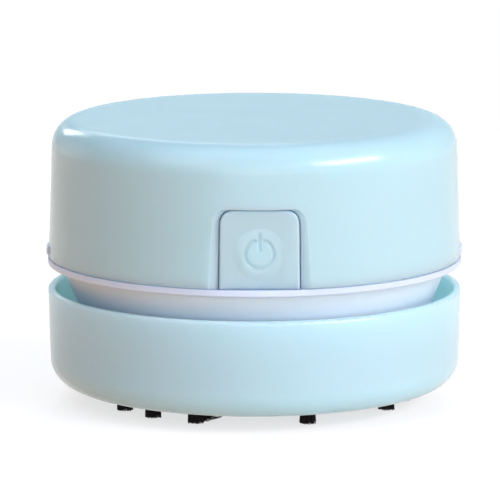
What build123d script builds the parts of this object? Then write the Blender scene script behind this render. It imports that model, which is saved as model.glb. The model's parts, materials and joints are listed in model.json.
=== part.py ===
from build123d import *
from math import atan2, cos, degrees, hypot, radians, sin, sqrt, tan
import os

# Desktop mini vacuum cleaner, a round battery sweeper for crumbs on a desk.
# Millimetres. +Z is up and runs along the fan's axis, z = 0 is the table under the
# bristle tips, and the front, with the power button, looks towards -Y.
#
# From the table up: a wide dust dish that stands on bristle tufts, a white funnel that
# plugs into the dish and carries the filter, the fan and the motor, a deck with two AA
# cells and the switch, and a cap shell that drops over the deck.

# ------------------------------------------------------------------ bought-in parts
cell_diameter = 14.2
cell_length = 50.5
cell_nub_diameter = 5.5
cell_nub_length = 1.2
cell_edge_round = 0.5

motor_can_diameter = 20.1
motor_can_flats = 15.1
motor_can_length = 20.5
motor_can_wall = 0.8
motor_cap_length = 4.6
motor_cap_wall = 1.4
motor_boss_diameter = 6.1
motor_boss_length = 1.6
motor_bush_diameter = 4.4
shaft_diameter = 2.0
shaft_running_clearance = 0.03
cap_boss_step = 0.3
cap_boss_depth = 1.2
bush_recess = 0.3

magnet_length = 12.0
magnet_thickness = 2.4
magnet_side_gap = 0.3
magnet_arc_share = 0.45
core_gap = 0.45
core_length = 10.0
core_arm_half = 1.3
core_hub_radius = 2.4
shoe_thickness = 1.1
shoe_half_degrees = 40.0
winding_overhang = 1.0
winding_air = 0.1
winding_half_width = 2.7
winding_round = 0.9
commutator_radius = 2.2
commutator_length = 3.6
commutator_slit = 0.3
brush_x = 5.45
brush_thickness = 0.5
brush_half_width = 1.2
brush_drop = 1.5
brush_tail = 2.3
brush_gap = 0.3

switch_body_size = 8.4
switch_body_depth = 5.0
switch_plunger_diameter = 3.2
switch_plunger_reach = 1.7
switch_bore_gap = 0.12
switch_back_wall = 0.8
switch_end_gap = 0.2
switch_body_round = 0.6
board_thickness = 1.2
board_height = 14.0
board_post_width = 4.0
board_post_depth = 2.5
board_post_drop = 1.0
board_screw_drop = 3.0
board_raise = 1.2

screw_diameter = 2.0
screw_head_diameter = 3.4
screw_head_height = 1.0
screw_tip_room = 0.6
wire_diameter = 1.2
lead_rise = 3.5
lead_arch = 2.6
lead_run = 8.0
lead_end_rise = 1.2
lead_board_offset = 1.5

# ------------------------------------------------------------------ moulded casings
side_draft_degrees = 1.6
shell_draft_degrees = 1.85
shell_wall = 1.8
shell_top_round = 5.5
shell_edge_round = 0.3
roof_clearance = 2.45

dish_flare = 0.18
dish_height = 19.9
dish_wall = 1.5
dish_floor = 1.8
dish_foot_round = 5.5
dish_inner_round = 4.0
dish_rim_round = 0.68
bell_rise = 1.8
bell_margin = 1.4
inlet_radius = 9.0
chimney_wall = 1.4
intake_gap = 3.8
dust_cup_depth = 8.8
seat_wall = 1.65

exhaust_gap = 4.85
lip_height = 1.3
lip_proud = 0.2
lip_overhang = 2.71
lip_round_above = 0.3
lip_round_below = 0.9
cone_run = 5.7
funnel_wall = 1.7
deck_thickness = 1.7
deck_boss_radius = 2.0
deck_boss_drop = 2.0
shoulder_width = 1.4
spigot_wall = 2.0
spigot_length = 4.0
upstand_height = 3.7
upstand_wall = 1.4
upstand_gap = 0.55
upstand_cut_margin = 0.6
bay_clearance = 1.51
exhaust_slot_count = 15
exhaust_slot_width = 2.2
exhaust_slot_pitch_degrees = 9.0
exhaust_slot_margin = 1.4

# ------------------------------------------------------------------ fan and filter
impeller_height = 6.2
impeller_disc = 1.2
impeller_hub_radius = 3.6
blade_count = 12
blade_thickness = 1.0
blade_inner_radius = 9.5
blade_sweep_degrees = 34.0
blade_bow = 2.2
blade_inset = 0.5
fan_top_gap = 0.8
fan_bottom_gap = 0.6
fan_side_gap = 0.6
fan_boss_gap = 0.1
cup_drop = 2.9
cup_floor = 1.4
cup_wall = 1.4
cup_rise = 3.7
cup_clearance = 0.1
cover_thickness = 1.2
cover_clearance = 0.2
cover_eye_radius = 12.0
cover_screw_clearance = 0.15
cover_boss_radius = 2.3
cover_boss_length = 5.0
cover_boss_roof = 1.0
guard_spoke_width = 1.6
filter_frame_height = 3.8
filter_frame_wall = 1.05
filter_frame_clearance = 0.15
filter_grid_thickness = 1.0
filter_disc_thickness = 1.0
filter_disc_clearance = 0.1
filter_rim_width = 2.4
filter_spoke_width = 1.2
filter_hub_radius = 4.0
filter_ring_radius = 15.5
filter_grip_length = 12.0
filter_grip_thickness = 1.6
filter_grip_height = 1.2
seal_height = 1.6
seal_depth = 1.3
seal_clearance = 0.08
seal_groove_gap = 0.05
seat_clearance = 0.3

# ------------------------------------------------------------------ bristles
bristle_reach = 3.0
tuft_radius = 1.5
tuft_tip_radius = 1.65
tuft_root_depth = 2.6
tuft_seat_offset = 2.06
tuft_land_width = 2.6
tuft_land_height = 1.8
tuft_angles = (-60.5, -43, -24, 19)
tuft_sectors = 3

# ------------------------------------------------------------------ button and tabs
button_top_width = 15.4
button_bottom_width = 15.8
button_height = 15.45
button_corner_round = 2.55
button_edge_round = 0.45
button_proud = 0.52
button_wall = 1.5
button_flange = 0.9
button_flange_thickness = 1.0
button_travel = 1.5
button_groove = 0.22
button_floor_gap = 0.15
button_boss_radius = 2.0
button_boss_reach = 0.75
pad_radius = 5.1
pad_rise = 0.25
pad_shoulder = 1.4
pad_shoulder_round = 1.8
pad_foot = 0.4
pad_drop = 0.85
symbol_radius = 2.78
symbol_line = 0.88
symbol_depth = 0.26
symbol_gap_degrees = 20.0
symbol_bar_length = 4.0
symbol_bar_low = 0.45
facet_plane = 1.65
facet_top_margin = 0.75
facet_bottom_margin = 0.35
facet_corner_round = 3.4
facet_slope_degrees = 75.0
frame_back_gap = 0.15
frame_thickness = 1.73
frame_rise = 1.6
guide_clearance = 0.15
guide_wall = 1.2
guide_front_gap = 0.3
guide_drop = 4.0

tab_width = 9.0
tab_height = 2.35
tab_pip_width = 6.0
tab_pip_height = 1.6
tab_pip_low = 0.45
tab_proud = 0.48
tab_edge_round = 0.35
tab_travel = 1.0
tab_gap = 0.2
tab_floor_gap = 0.15
tab_plate_thickness = 1.4
tab_plate_height = 6.95
tab_barb_height = 1.7
tab_barb_reach = 0.8
tab_foot_thickness = 1.15
tab_foot_length = 3.2
tab_ear_width = 0.9
tab_ear_length = 1.0
tab_cheek_wall = 1.2
tab_cheek_reach = 0.8
tab_ear_gap = 0.15
tab_spring_gap = 0.3
tab_post_gap = 0.4
tab_post_wall = 1.2
tab_post_rise = 0.6
catch_height = 1.2
catch_reach = 0.85
catch_gap = 0.1
catch_margin = 1.0

# ------------------------------------------------------------------ battery tray
tray_clearance = 0.25
tray_floor = 1.0
tray_inner_wall = 0.9
tray_outer_wall = 1.2
tray_wall_height = 5.7
tray_end_wall = 1.3
tray_end_height = 15.5
tray_cup_gap = 0.3
tray_wall_gap = 0.3
contact_thickness = 0.4
contact_width = 10.0
contact_dimple_rise = 0.2
contact_spring_length = 3.2
contact_spring_wire = 0.5
contact_tail_width = 4.0
contact_tail_height = 1.7
contact_tail_inset = 4.5
contact_dimple_radius = 2.0
contact_coil_radius = 4.3
contact_coil_turns = 3.5
contact_coil_lap = 0.12
contact_air = 0.03
ear_radius = 3.0
ear_offset_y = 14.0
ear_overlap = 0.3
tray_ear_thickness = 1.6

spring_wire = 0.32
spring_radius = 1.35
button_spring_radius = 2.9
spring_seat_gap = 0.03

clamp_width = 9.0
clamp_thickness = 1.4
clamp_foot_length = 6.6
clamp_foot_thickness = 1.7
clamp_side_gap = 0.3
clamp_clearance = 0.3
clamp_screw_offset = 0.4

# ================================================================== worked-out places
draft = tan(radians(side_draft_degrees))
shell_draft = tan(radians(shell_draft_degrees))

# Heights, from the table up.
dish_bottom_z = bristle_reach
dish_floor_z = dish_bottom_z + dish_floor
rim_z = dish_bottom_z + dish_height
shoulder_z = dish_floor_z + dust_cup_depth
spigot_bottom_z = shoulder_z - spigot_length
lip_z = rim_z + exhaust_gap
deck_z = lip_z + lip_height
deck_under_z = deck_z - deck_thickness
motor_seat_z = deck_z - cup_drop
cup_under_z = motor_seat_z - cup_floor
impeller_top_z = cup_under_z - fan_top_gap
impeller_bottom_z = impeller_top_z - impeller_height
cover_top_z = impeller_bottom_z - fan_bottom_gap
cover_bottom_z = cover_top_z - cover_thickness
web_top_z = cover_top_z + cover_thickness
filter_bottom_z = cover_bottom_z - filter_frame_height
filter_disc_z = filter_bottom_z + filter_grid_thickness
chimney_top_z = filter_bottom_z - intake_gap
can_top_z = motor_seat_z + motor_can_length
motor_top_z = can_top_z + motor_cap_length
boss_top_z = motor_top_z + motor_boss_length
roof_z = boss_top_z + roof_clearance
top_z = roof_z + shell_wall

# The cells lie left and right of the motor, and the casings are sized around them.
motor_half_flats = motor_can_flats / 2
motor_half_round = motor_can_diameter / 2
cup_half_width = motor_half_flats + cup_clearance + cup_wall
cell_radius = cell_diameter / 2
trough_radius = cell_radius + tray_clearance
cell_x = cup_half_width + tray_cup_gap + tray_inner_wall + trough_radius
cell_z = deck_z + tray_floor + trough_radius
cell_shift = (contact_spring_length - contact_dimple_rise) / 2
pocket_half_length = (
    cell_length + contact_spring_length + contact_dimple_rise + 2 * contact_thickness
) / 2
cell_corner_radius = hypot(cell_x + cell_radius, cell_length / 2 + cell_shift)
upstand_inner_radius = cell_corner_radius + bay_clearance
upstand_outer_radius = upstand_inner_radius + upstand_wall
shell_radius = upstand_outer_radius + upstand_gap + shell_wall
shell_height = top_z - deck_z
lip_radius = shell_radius + lip_proud
cone_top_radius = lip_radius - lip_overhang
cone_bottom_radius = cone_top_radius - cone_run
spigot_radius = cone_bottom_radius - shoulder_width
bore_radius = spigot_radius - spigot_wall
seat_radius = spigot_radius + seat_clearance
dish_radius = shell_radius + dish_flare
tuft_circle_radius = seat_radius - tuft_seat_offset
land_radius = tuft_circle_radius - tuft_land_width
bell_radius = land_radius - bell_margin
cover_radius = bore_radius - cover_clearance
filter_radius = bore_radius - filter_frame_clearance
filter_room_radius = filter_radius - filter_frame_wall
cover_screw_radius = filter_room_radius - screw_head_diameter / 2 - cover_screw_clearance
fan_bore_radius = cover_screw_radius - cover_boss_radius - fan_boss_gap
impeller_radius = fan_bore_radius - fan_side_gap

# Inside the motor.
magnet_low_z = motor_seat_z + (motor_can_length - magnet_length) / 2
core_low_z = magnet_low_z + (magnet_length - core_length) / 2
core_radius = motor_half_flats - motor_can_wall - core_gap

# The flat facet around the button, and the planes behind it.
facet_y = -(shell_radius - facet_plane)
button_face_y = facet_y - button_proud
frame_back_y = facet_y + frame_thickness
flange_front_y = frame_back_y + frame_back_gap
flange_back_y = flange_front_y + button_flange_thickness
boss_end_y = flange_back_y + button_boss_reach
switch_front_y = boss_end_y + switch_plunger_reach
switch_back_y = switch_front_y + switch_body_depth
board_back_y = switch_back_y + board_thickness
button_bottom_z = deck_z + button_floor_gap
button_top_z = button_bottom_z + button_height
pad_z = (button_bottom_z + button_top_z) / 2 - pad_drop
flange_half_width = button_bottom_width / 2 + button_flange
flange_top_z = button_top_z + button_flange
board_bottom_z = pad_z - board_height / 2 + board_raise
board_top_z = board_bottom_z + board_height
board_half_width = flange_half_width


def shell_outer(z):
    """Outside radius of the drafted cap shell at height z."""
    return shell_radius - (z - deck_z) * shell_draft


def shell_inner(z):
    """Inside radius of the cap shell at height z."""
    return shell_outer(z) - shell_wall


def cone_outer(z):
    """Outside radius of the funnel's cone at height z."""
    slope = cone_run / (lip_z - shoulder_z)
    return cone_top_radius - (lip_z - z) * slope


# ================================================================== small helpers
BASE = (Align.CENTER, Align.CENTER, Align.MIN)


def turned(points, rounds=None):
    """A closed profile of (radius, height) corners, rounded where asked, turned about Z."""
    radii = rounds or {}
    outline = FilletPolyline(
        *points, radius=[radii.get(n, 0) for n in range(len(points))], close=True
    )
    return revolve(Plane.XZ * make_face(outline), Axis.Z)


def tube(outer, inner, low, high):
    """An upright tube about Z."""
    return turned([(inner, low), (outer, low), (outer, high), (inner, high)])


def disc(radius, low, high):
    """An upright cylinder about Z."""
    return Pos(0, 0, low) * Cylinder(radius, high - low, align=BASE)


def block(x0, x1, y0, y1, z0, z1):
    """A box between two corners."""
    middle = Pos((x0 + x1) / 2, (y0 + y1) / 2, (z0 + z1) / 2)
    return middle * Box(x1 - x0, y1 - y0, z1 - z0)


def rod_y(radius, x, z, y0, y1):
    """A cylinder that lies along Y."""
    lying = Pos(x, (y0 + y1) / 2, z) * Rot(90, 0, 0)
    return lying * Cylinder(radius, abs(y1 - y0))


def rod_x(radius, y, z, x0, x1):
    """A cylinder that lies along X."""
    lying = Pos((x0 + x1) / 2, y, z) * Rot(0, 90, 0)
    return lying * Cylinder(radius, abs(x1 - x0))


def around(shape, count, start=0):
    """Copies of a shape turned about Z at equal steps."""
    return [Rot(0, 0, start + n * 360 / count) * shape for n in range(count)]


def merged(shapes):
    """One part from several that touch or overlap."""
    first, *rest = shapes
    return first + rest if rest else first


def mirrored_x(shape):
    """The same shape on the other side of the YZ plane."""
    return mirror(shape, Plane.YZ)


def coil(radius, wire, turns, length, cone=0.0):
    """A helical spring along +Z from z = 0, its wire ends cut square to the helix."""
    pitch = (length - wire) / turns
    line = Helix(pitch, length - wire, radius, cone_angle=cone)
    start = Plane(origin=line @ 0, z_dir=line % 0)
    spring = sweep(start * Circle(wire / 2), path=line, is_frenet=True)
    return Pos(0, 0, wire / 2) * spring


def lead(points):
    """An insulated wire through points, each corner as wide as its shorter run allows."""
    radii = []
    for before, corner, after in zip(points, points[1:], points[2:]):
        run_in = Vector(corner) - Vector(before)
        run_out = Vector(after) - Vector(corner)
        half_turn = radians(run_in.get_angle(run_out)) / 2
        shorter = min(run_in.length, run_out.length)
        radii.append(0.45 * shorter / tan(half_turn))
    route = FilletPolyline(*points, radius=radii)
    section = Plane(origin=route @ 0, z_dir=route % 0) * Circle(wire_diameter / 2)
    return sweep(section, path=route)


def screw(x, y, head_z, length, up=False):
    """A pan-head screw. Its head stands on head_z, and its shank runs down, or up."""
    head = Cylinder(screw_head_diameter / 2, screw_head_height, align=BASE)
    top_edge = head.edges().sort_by(Axis.Z)[-1]
    head = fillet(top_edge, screw_head_height * 0.4)
    slot = Box(screw_head_diameter * 0.7, 0.5, screw_head_height * 0.8)
    cross = slot + Rot(0, 0, 90) * slot
    head = head - Pos(0, 0, screw_head_height) * cross
    shank = Pos(0, 0, -length) * Cylinder(screw_diameter / 2, length, align=BASE)
    flip = Rot(180, 0, 0) if up else Rot(0, 0, 0)
    return Pos(x, y, head_z) * flip * (head + shank)


# ================================================================== dust dish
def dust_dish():
    """Wide dish: outer wall, seat ring for the funnel, dust floor and inlet chimney."""
    foot_radius = dish_radius - dish_height * draft
    inner_top = dish_radius - dish_wall
    inner_foot = foot_radius - dish_wall
    seat_outer = seat_radius + seat_wall
    land_z = dish_floor_z + tuft_land_height
    chimney_outer = inlet_radius + chimney_wall
    floor_rise = bell_rise / (bell_radius - chimney_outer)
    mouth_z = dish_bottom_z + (bell_radius - inlet_radius) * floor_rise
    body = turned(
        [
            (bell_radius, dish_bottom_z),
            (foot_radius, dish_bottom_z),
            (dish_radius, rim_z),
            (inner_top, rim_z),
            (inner_foot, dish_floor_z),
            (seat_outer, dish_floor_z),
            (seat_outer, shoulder_z),
            (seat_radius, shoulder_z),
            (seat_radius, land_z),
            (land_radius, land_z),
            (land_radius, dish_floor_z),
            (bell_radius, dish_floor_z),
            (chimney_outer, dish_floor_z + bell_rise),
            (chimney_outer, chimney_top_z),
            (inlet_radius, chimney_top_z),
            (inlet_radius, mouth_z),
        ],
        {
            1: dish_foot_round,
            2: dish_rim_round,
            3: dish_rim_round,
            4: dish_inner_round,
        },
    )
    hole = disc(tuft_radius, dish_bottom_z, dish_bottom_z + tuft_root_depth)
    return body - [place * hole for place in tuft_places()]


def tuft_places():
    """Where the tufts stand: groups of four at equal sectors, counted from the front."""
    places = []
    for sector in range(tuft_sectors):
        for angle in tuft_angles:
            turn = radians(angle + sector * 360 / tuft_sectors)
            across = tuft_circle_radius * sin(turn)
            back = -tuft_circle_radius * cos(turn)
            places.append(Pos(across, back, 0))
    return places


def bristle_tufts():
    """Nylon tufts: packed bristles set in blind holes, opening a little to the tip."""
    root_z = dish_bottom_z + tuft_root_depth
    tuft = turned(
        [
            (0, 0),
            (tuft_tip_radius, 0),
            (tuft_radius, dish_bottom_z),
            (tuft_radius, root_z),
            (0, root_z),
        ]
    )
    return Compound([place * tuft for place in tuft_places()])


# ================================================================== funnel and deck
def mid_funnel():
    """White chassis: spigot, cone with exhaust slots, lip ring, deck and motor cup."""
    cone_inner_deck = cone_outer(deck_under_z) - funnel_wall
    cone_inner_web = cone_outer(web_top_z) - funnel_wall
    groove_radius = seat_radius - seal_clearance - seal_depth - seal_groove_gap
    groove_low = (spigot_bottom_z + shoulder_z - seal_height) / 2
    groove_high = groove_low + seal_height
    body = turned(
        [
            (bore_radius, spigot_bottom_z),
            (spigot_radius, spigot_bottom_z),
            (spigot_radius, groove_low),
            (groove_radius, groove_low),
            (groove_radius, groove_high),
            (spigot_radius, groove_high),
            (spigot_radius, shoulder_z),
            (cone_bottom_radius, shoulder_z),
            (cone_top_radius, lip_z),
            (lip_radius, lip_z),
            (lip_radius, deck_z),
            (0, deck_z),
            (0, deck_under_z),
            (cone_inner_deck, deck_under_z),
            (cone_inner_web, web_top_z),
            (fan_bore_radius, web_top_z),
            (fan_bore_radius, cover_top_z),
            (bore_radius, cover_top_z),
        ],
        {8: lip_round_below, 9: lip_round_above},
    )
    wall = tube(upstand_outer_radius, upstand_inner_radius, deck_z, deck_z + upstand_height)
    body = body + (wall - upstand_openings())
    body = body + deck_furniture()
    return body - deck_openings() - exhaust_slots()


def upstand_openings():
    """Gaps in the locating wall, behind the button and at each release tab."""
    high = deck_z + upstand_height + 1
    reach = shell_radius
    half_front = sqrt(shell_inner(deck_z) ** 2 - frame_back_y**2) + upstand_cut_margin
    half_tab = tab_width / 2 + tab_gap + upstand_cut_margin / 2
    front = block(-half_front, half_front, -reach, -reach / 2, deck_z, high)
    sides = block(-reach, reach, -half_tab, half_tab, deck_z, high)
    return [front, sides]


def exhaust_slots():
    """Rear exhaust slots through the cone, level with the fan."""
    low = web_top_z + exhaust_slot_margin / 2
    high = deck_under_z - exhaust_slot_margin
    slot = block(
        -exhaust_slot_width / 2,
        exhaust_slot_width / 2,
        cone_outer(low) - funnel_wall - 2,
        cone_top_radius,
        low,
        high,
    )
    first = -(exhaust_slot_count - 1) / 2 * exhaust_slot_pitch_degrees
    turns = [first + n * exhaust_slot_pitch_degrees for n in range(exhaust_slot_count)]
    return [Rot(0, 0, turn) * slot for turn in turns]


def motor_outline(grow):
    """The motor's section, a circle with two flats, grown by an offset."""
    circle = Circle(motor_half_round + grow)
    flats = Rectangle(2 * (motor_half_flats + grow), 4 * motor_half_round)
    return circle & flats


def motor_prism(grow, low, high):
    """The motor's section as an upright prism."""
    return extrude(Pos(0, 0, low) * motor_outline(grow), high - low)


def clamp_screw_y():
    """Distance of the motor clamp's screws from the axis."""
    strap_outer = motor_half_round + clamp_clearance + clamp_thickness
    return strap_outer + clamp_foot_length / 2 + clamp_screw_offset


def ear_x():
    """Distance of the tray's screw ears from the axis."""
    return cell_x + trough_radius + tray_outer_wall + ear_radius - ear_overlap


def cover_screw_places():
    """Where the fan cover's three screws stand."""
    return [
        (cover_screw_radius * cos(radians(turn)), cover_screw_radius * sin(radians(turn)))
        for turn in (90, 210, 330)
    ]


def deck_furniture():
    """What stands on or hangs from the deck: cup, bosses, guides, posts and spring seats."""
    pieces = [motor_prism(cup_wall + cup_clearance, cup_under_z, deck_z + cup_rise)]
    for side in (-1, 1):
        boss = disc(deck_boss_radius, cup_under_z, deck_z)
        pieces.append(Pos(0, side * clamp_screw_y(), 0) * boss)
        for end in (-1, 1):
            ear_boss = disc(deck_boss_radius, cup_under_z - deck_boss_drop, deck_z)
            pieces.append(Pos(side * ear_x(), end * ear_offset_y, 0) * ear_boss)
        inner = flange_half_width + guide_clearance
        pieces.append(
            block(
                *sorted((side * inner, side * (inner + guide_wall))),
                frame_back_y + guide_front_gap,
                switch_front_y,
                deck_z,
                flange_top_z - guide_drop,
            )
        )
        pieces.append(
            block(
                *sorted((side * (board_half_width - board_post_width), side * board_half_width)),
                board_back_y,
                board_back_y + board_post_depth,
                deck_z,
                board_top_z - board_post_drop,
            )
        )
        pieces.extend(tab_guides(side))
    for x, y in cover_screw_places():
        boss = disc(cover_boss_radius, cover_top_z, cover_top_z + cover_boss_length)
        pieces.append(Pos(x, y, 0) * boss)
    return pieces


def deck_openings():
    """Holes through the deck: motor pocket, shaft boss and every screw's pilot."""
    pilot = screw_diameter / 2
    boss_hole_radius = motor_boss_diameter / 2 + cup_clearance
    cuts = [motor_prism(cup_clearance, motor_seat_z, deck_z + cup_rise + 1)]
    cuts.append(disc(boss_hole_radius, cup_under_z - 1, motor_seat_z + 1))
    for side in (-1, 1):
        clamp_pilot = disc(pilot, cup_under_z, deck_z + 1)
        cuts.append(Pos(0, side * clamp_screw_y(), 0) * clamp_pilot)
        strap_half = clamp_width / 2 + clamp_side_gap
        strap_y0, strap_y1 = sorted((side * motor_half_round, side * clamp_screw_y()))
        cuts.append(
            block(-strap_half, strap_half, strap_y0, strap_y1, deck_z, deck_z + cup_rise + 1)
        )
        for end in (-1, 1):
            ear_pilot = disc(pilot, cup_under_z - deck_boss_drop, deck_z + 1)
            cuts.append(Pos(side * ear_x(), end * ear_offset_y, 0) * ear_pilot)
        board_pilot = rod_y(
            pilot,
            side * board_screw_x(),
            board_screw_z(),
            board_back_y - 1,
            board_back_y + board_post_depth + 1,
        )
        cuts.append(board_pilot)
    for x, y in cover_screw_places():
        pilot_top_z = cover_top_z + cover_boss_length - cover_boss_roof
        cuts.append(Pos(x, y, 0) * disc(pilot, cover_top_z - 1, pilot_top_z))
    return cuts


def board_screw_x():
    """Distance of the switch board's screws from the middle."""
    return board_half_width - board_post_width / 2


def board_screw_z():
    """Height of the switch board's two screws."""
    return board_top_z - board_screw_drop


# ------------------------------------------------------------------ release tabs
tab_bottom_z = deck_z + tab_floor_gap
tab_top_z = tab_bottom_z + tab_height
tab_plate_top_z = tab_bottom_z + tab_plate_height
tab_plate_radius = shell_inner(tab_plate_top_z) - catch_reach - tab_gap
tab_plate_inner = tab_plate_radius - tab_plate_thickness
tab_foot_inner_x = tab_plate_inner - tab_foot_length
tab_spring_z = tab_bottom_z + tab_foot_thickness + spring_radius + spring_wire + tab_spring_gap
tab_post_x = tab_foot_inner_x - tab_travel - tab_post_gap


def release_tab():
    """Right-hand tab: pressed head, upright plate with a barb, and a guided foot."""
    half = tab_width / 2
    ear_half = half + tab_ear_width
    pip_radius = shell_radius + tab_proud
    pip_low = tab_bottom_z + tab_pip_low
    pip_high = pip_low + tab_pip_height
    pip_half = tab_pip_width / 2
    head = disc(shell_outer(tab_top_z), tab_bottom_z, tab_top_z)
    head = head & block(tab_plate_inner, pip_radius, -half, half, tab_bottom_z, tab_top_z)
    pip = fillet(disc(pip_radius, pip_low, pip_high).edges(), tab_edge_round)
    pip = pip & block(tab_plate_inner, pip_radius, -pip_half, pip_half, pip_low, pip_high)
    plate = disc(tab_plate_radius, tab_bottom_z, tab_plate_top_z)
    plate = plate & block(tab_plate_inner, shell_radius, -half, half, 0, top_z)
    barb_low = tab_plate_top_z - tab_barb_height
    barb_radius = tab_plate_radius + tab_barb_reach
    barb = turned(
        [
            (tab_plate_inner, barb_low),
            (barb_radius, barb_low),
            (barb_radius, barb_low + tab_barb_height * 0.4),
            (tab_plate_radius, tab_plate_top_z),
            (tab_plate_inner, tab_plate_top_z),
        ]
    )
    barb = barb & block(tab_plate_inner, shell_radius, -half, half, 0, top_z)
    foot_top = tab_bottom_z + tab_foot_thickness
    foot = block(tab_foot_inner_x, tab_plate_radius - 0.5, -half, half, tab_bottom_z, foot_top)
    ears = block(
        tab_foot_inner_x,
        tab_foot_inner_x + tab_ear_length,
        -ear_half,
        ear_half,
        tab_bottom_z,
        foot_top,
    )
    peg_radius = spring_radius - spring_wire - 0.1
    peg = rod_x(peg_radius, 0, tab_spring_z, tab_plate_inner - 1, tab_plate_inner + 0.5)
    return merged([plate, head, pip, barb, foot, ears, peg])


def tab_guides(side):
    """Cheeks beside a tab's foot, which its ears catch on, and the post of its spring."""
    half = tab_width / 2
    inner = half + tab_gap
    cheek_x0 = tab_foot_inner_x + tab_ear_length + tab_ear_gap
    cheek_x1 = tab_plate_inner + tab_cheek_reach
    cheek_top = deck_z + tab_height
    post_half = spring_radius + tab_post_wall
    post_top = tab_spring_z + spring_radius + tab_post_rise
    pieces = []
    for end in (-1, 1):
        y0, y1 = sorted((end * inner, end * (inner + tab_cheek_wall)))
        pieces.append(block(cheek_x0, cheek_x1, y0, y1, deck_z, cheek_top))
    pieces.append(block(tab_post_x - tab_post_wall, tab_post_x, -post_half, post_half, deck_z, post_top))
    return [mirrored_x(piece) if side < 0 else piece for piece in pieces]


def tab_spring():
    """Right-hand tab's spring, between its post and the back of its plate."""
    length = tab_plate_inner - tab_post_x - 2 * spring_seat_gap
    lying = Pos(tab_post_x + spring_seat_gap, 0, tab_spring_z) * Rot(0, 90, 0)
    return lying * coil(spring_radius, spring_wire, 6, length)


# ------------------------------------------------------------------ seal, cover, filter
def seal_ring():
    """Rubber ring in the spigot's groove, which grips the dish's seat."""
    outer = seat_radius - seal_clearance
    inner = outer - seal_depth
    low = (spigot_bottom_z + shoulder_z - seal_height) / 2
    high = low + seal_height
    rounded = seal_height * 0.4
    return turned(
        [(inner, low), (outer, low), (outer, high), (inner, high)], {1: rounded, 2: rounded}
    )


def fan_cover():
    """Plate under the fan with the intake eye, its finger guard and three screw holes."""
    plate = disc(cover_radius, cover_bottom_z, cover_top_z)
    plate = plate - disc(cover_eye_radius, cover_bottom_z - 1, cover_top_z + 1)
    spoke = block(
        0, cover_eye_radius + 1, -guard_spoke_width / 2, guard_spoke_width / 2, cover_bottom_z, cover_top_z
    )
    hub = disc(impeller_hub_radius, cover_bottom_z, cover_top_z)
    plate = plate + [hub] + around(spoke, 3, 30)
    hole = disc(screw_diameter / 2, cover_bottom_z - 1, cover_top_z + 1)
    return plate - [Pos(x, y, 0) * hole for x, y in cover_screw_places()]


def fan_cover_screws():
    """Three screws that hold the fan cover from below."""
    length = cover_thickness + cover_boss_length - cover_boss_roof - screw_tip_room
    return Compound(
        [screw(x, y, cover_bottom_z, length, up=True) for x, y in cover_screw_places()]
    )


def filter_frame():
    """Basket that holds the filter disc, with a grid floor and a bar to pull it by."""
    half_spoke = filter_spoke_width / 2
    ring_inner = filter_ring_radius - filter_spoke_width
    wall = tube(filter_radius, filter_room_radius, filter_bottom_z, cover_bottom_z)
    rim = tube(filter_radius, filter_radius - filter_rim_width, filter_bottom_z, filter_disc_z)
    spoke = block(0, filter_room_radius, -half_spoke, half_spoke, filter_bottom_z, filter_disc_z)
    inner_ring = tube(filter_ring_radius, ring_inner, filter_bottom_z, filter_disc_z)
    hub = disc(filter_hub_radius, filter_bottom_z, filter_disc_z)
    half_grip = filter_grip_length / 2
    half_thickness = filter_grip_thickness / 2
    grip_z = filter_bottom_z - filter_grip_height
    grip = block(-half_grip, half_grip, -half_thickness, half_thickness, grip_z, filter_bottom_z)
    return merged([wall, rim, hub, inner_ring, grip] + around(spoke, 6))


def filter_disc():
    """Washable non-woven filter disc that lies on the frame's grid."""
    radius = filter_room_radius - filter_disc_clearance
    return disc(radius, filter_disc_z, filter_disc_z + filter_disc_thickness)


# ================================================================== motor
def motor_can():
    """Drawn steel can with two flats, a front wall and the front bearing's boss."""
    outside = motor_prism(0, motor_seat_z, can_top_z)
    inside = motor_prism(-motor_can_wall, motor_seat_z + motor_can_wall, can_top_z + 1)
    boss = disc(motor_boss_diameter / 2, motor_seat_z - motor_boss_length, motor_seat_z)
    bore = disc(motor_bush_diameter / 2, motor_seat_z - motor_boss_length - 1, motor_seat_z + 2)
    return outside + boss - inside - bore


def motor_end_cap():
    """Nylon cap that closes the can and holds the rear bearing and the brush strips."""
    low, high = can_top_z, motor_top_z
    outside = motor_prism(0, low, high)
    inside = motor_prism(-motor_cap_wall, low - 1, high - motor_cap_wall)
    boss_low_z = high - motor_cap_wall - cap_boss_depth
    boss = disc(motor_boss_diameter / 2 - cap_boss_step, boss_low_z, boss_top_z)
    bore = disc(motor_bush_diameter / 2, low, boss_top_z + 1)
    slots = [brush_strip(side) for side in (-1, 1)]
    return outside - inside + boss - bore - slots


def brush_strip(side):
    """The upright part of one brush strip, from inside the can to its solder tail."""
    x0, x1 = sorted((side * (brush_x - brush_thickness / 2), side * (brush_x + brush_thickness / 2)))
    low = can_top_z - brush_drop
    return block(x0, x1, -brush_half_width, brush_half_width, low, motor_top_z + brush_tail)


def brush_terminals():
    """Two copper brush strips that bear on the commutator and end in solder tails."""
    strips = []
    for side in (-1, 1):
        near = commutator_radius + brush_gap
        x0, x1 = sorted((side * near, side * brush_x))
        low = can_top_z - brush_drop
        arm = block(x0, x1, -brush_half_width, brush_half_width, low, low + brush_thickness)
        strips.append(brush_strip(side) + arm)
    return Compound(strips)


def field_magnets():
    """Two ferrite arcs against the round sides of the can."""
    outer = motor_half_round - motor_can_wall
    inner = outer - magnet_thickness
    ring = tube(outer, inner, magnet_low_z, magnet_low_z + magnet_length)
    half = motor_half_flats - motor_can_wall - magnet_side_gap
    sides = []
    for side in (-1, 1):
        y0, y1 = sorted((side * inner * magnet_arc_share, side * outer))
        sides.append(ring & block(-half, half, y0, y1, magnet_low_z, magnet_low_z + magnet_length))
    return Compound(sides)


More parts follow.
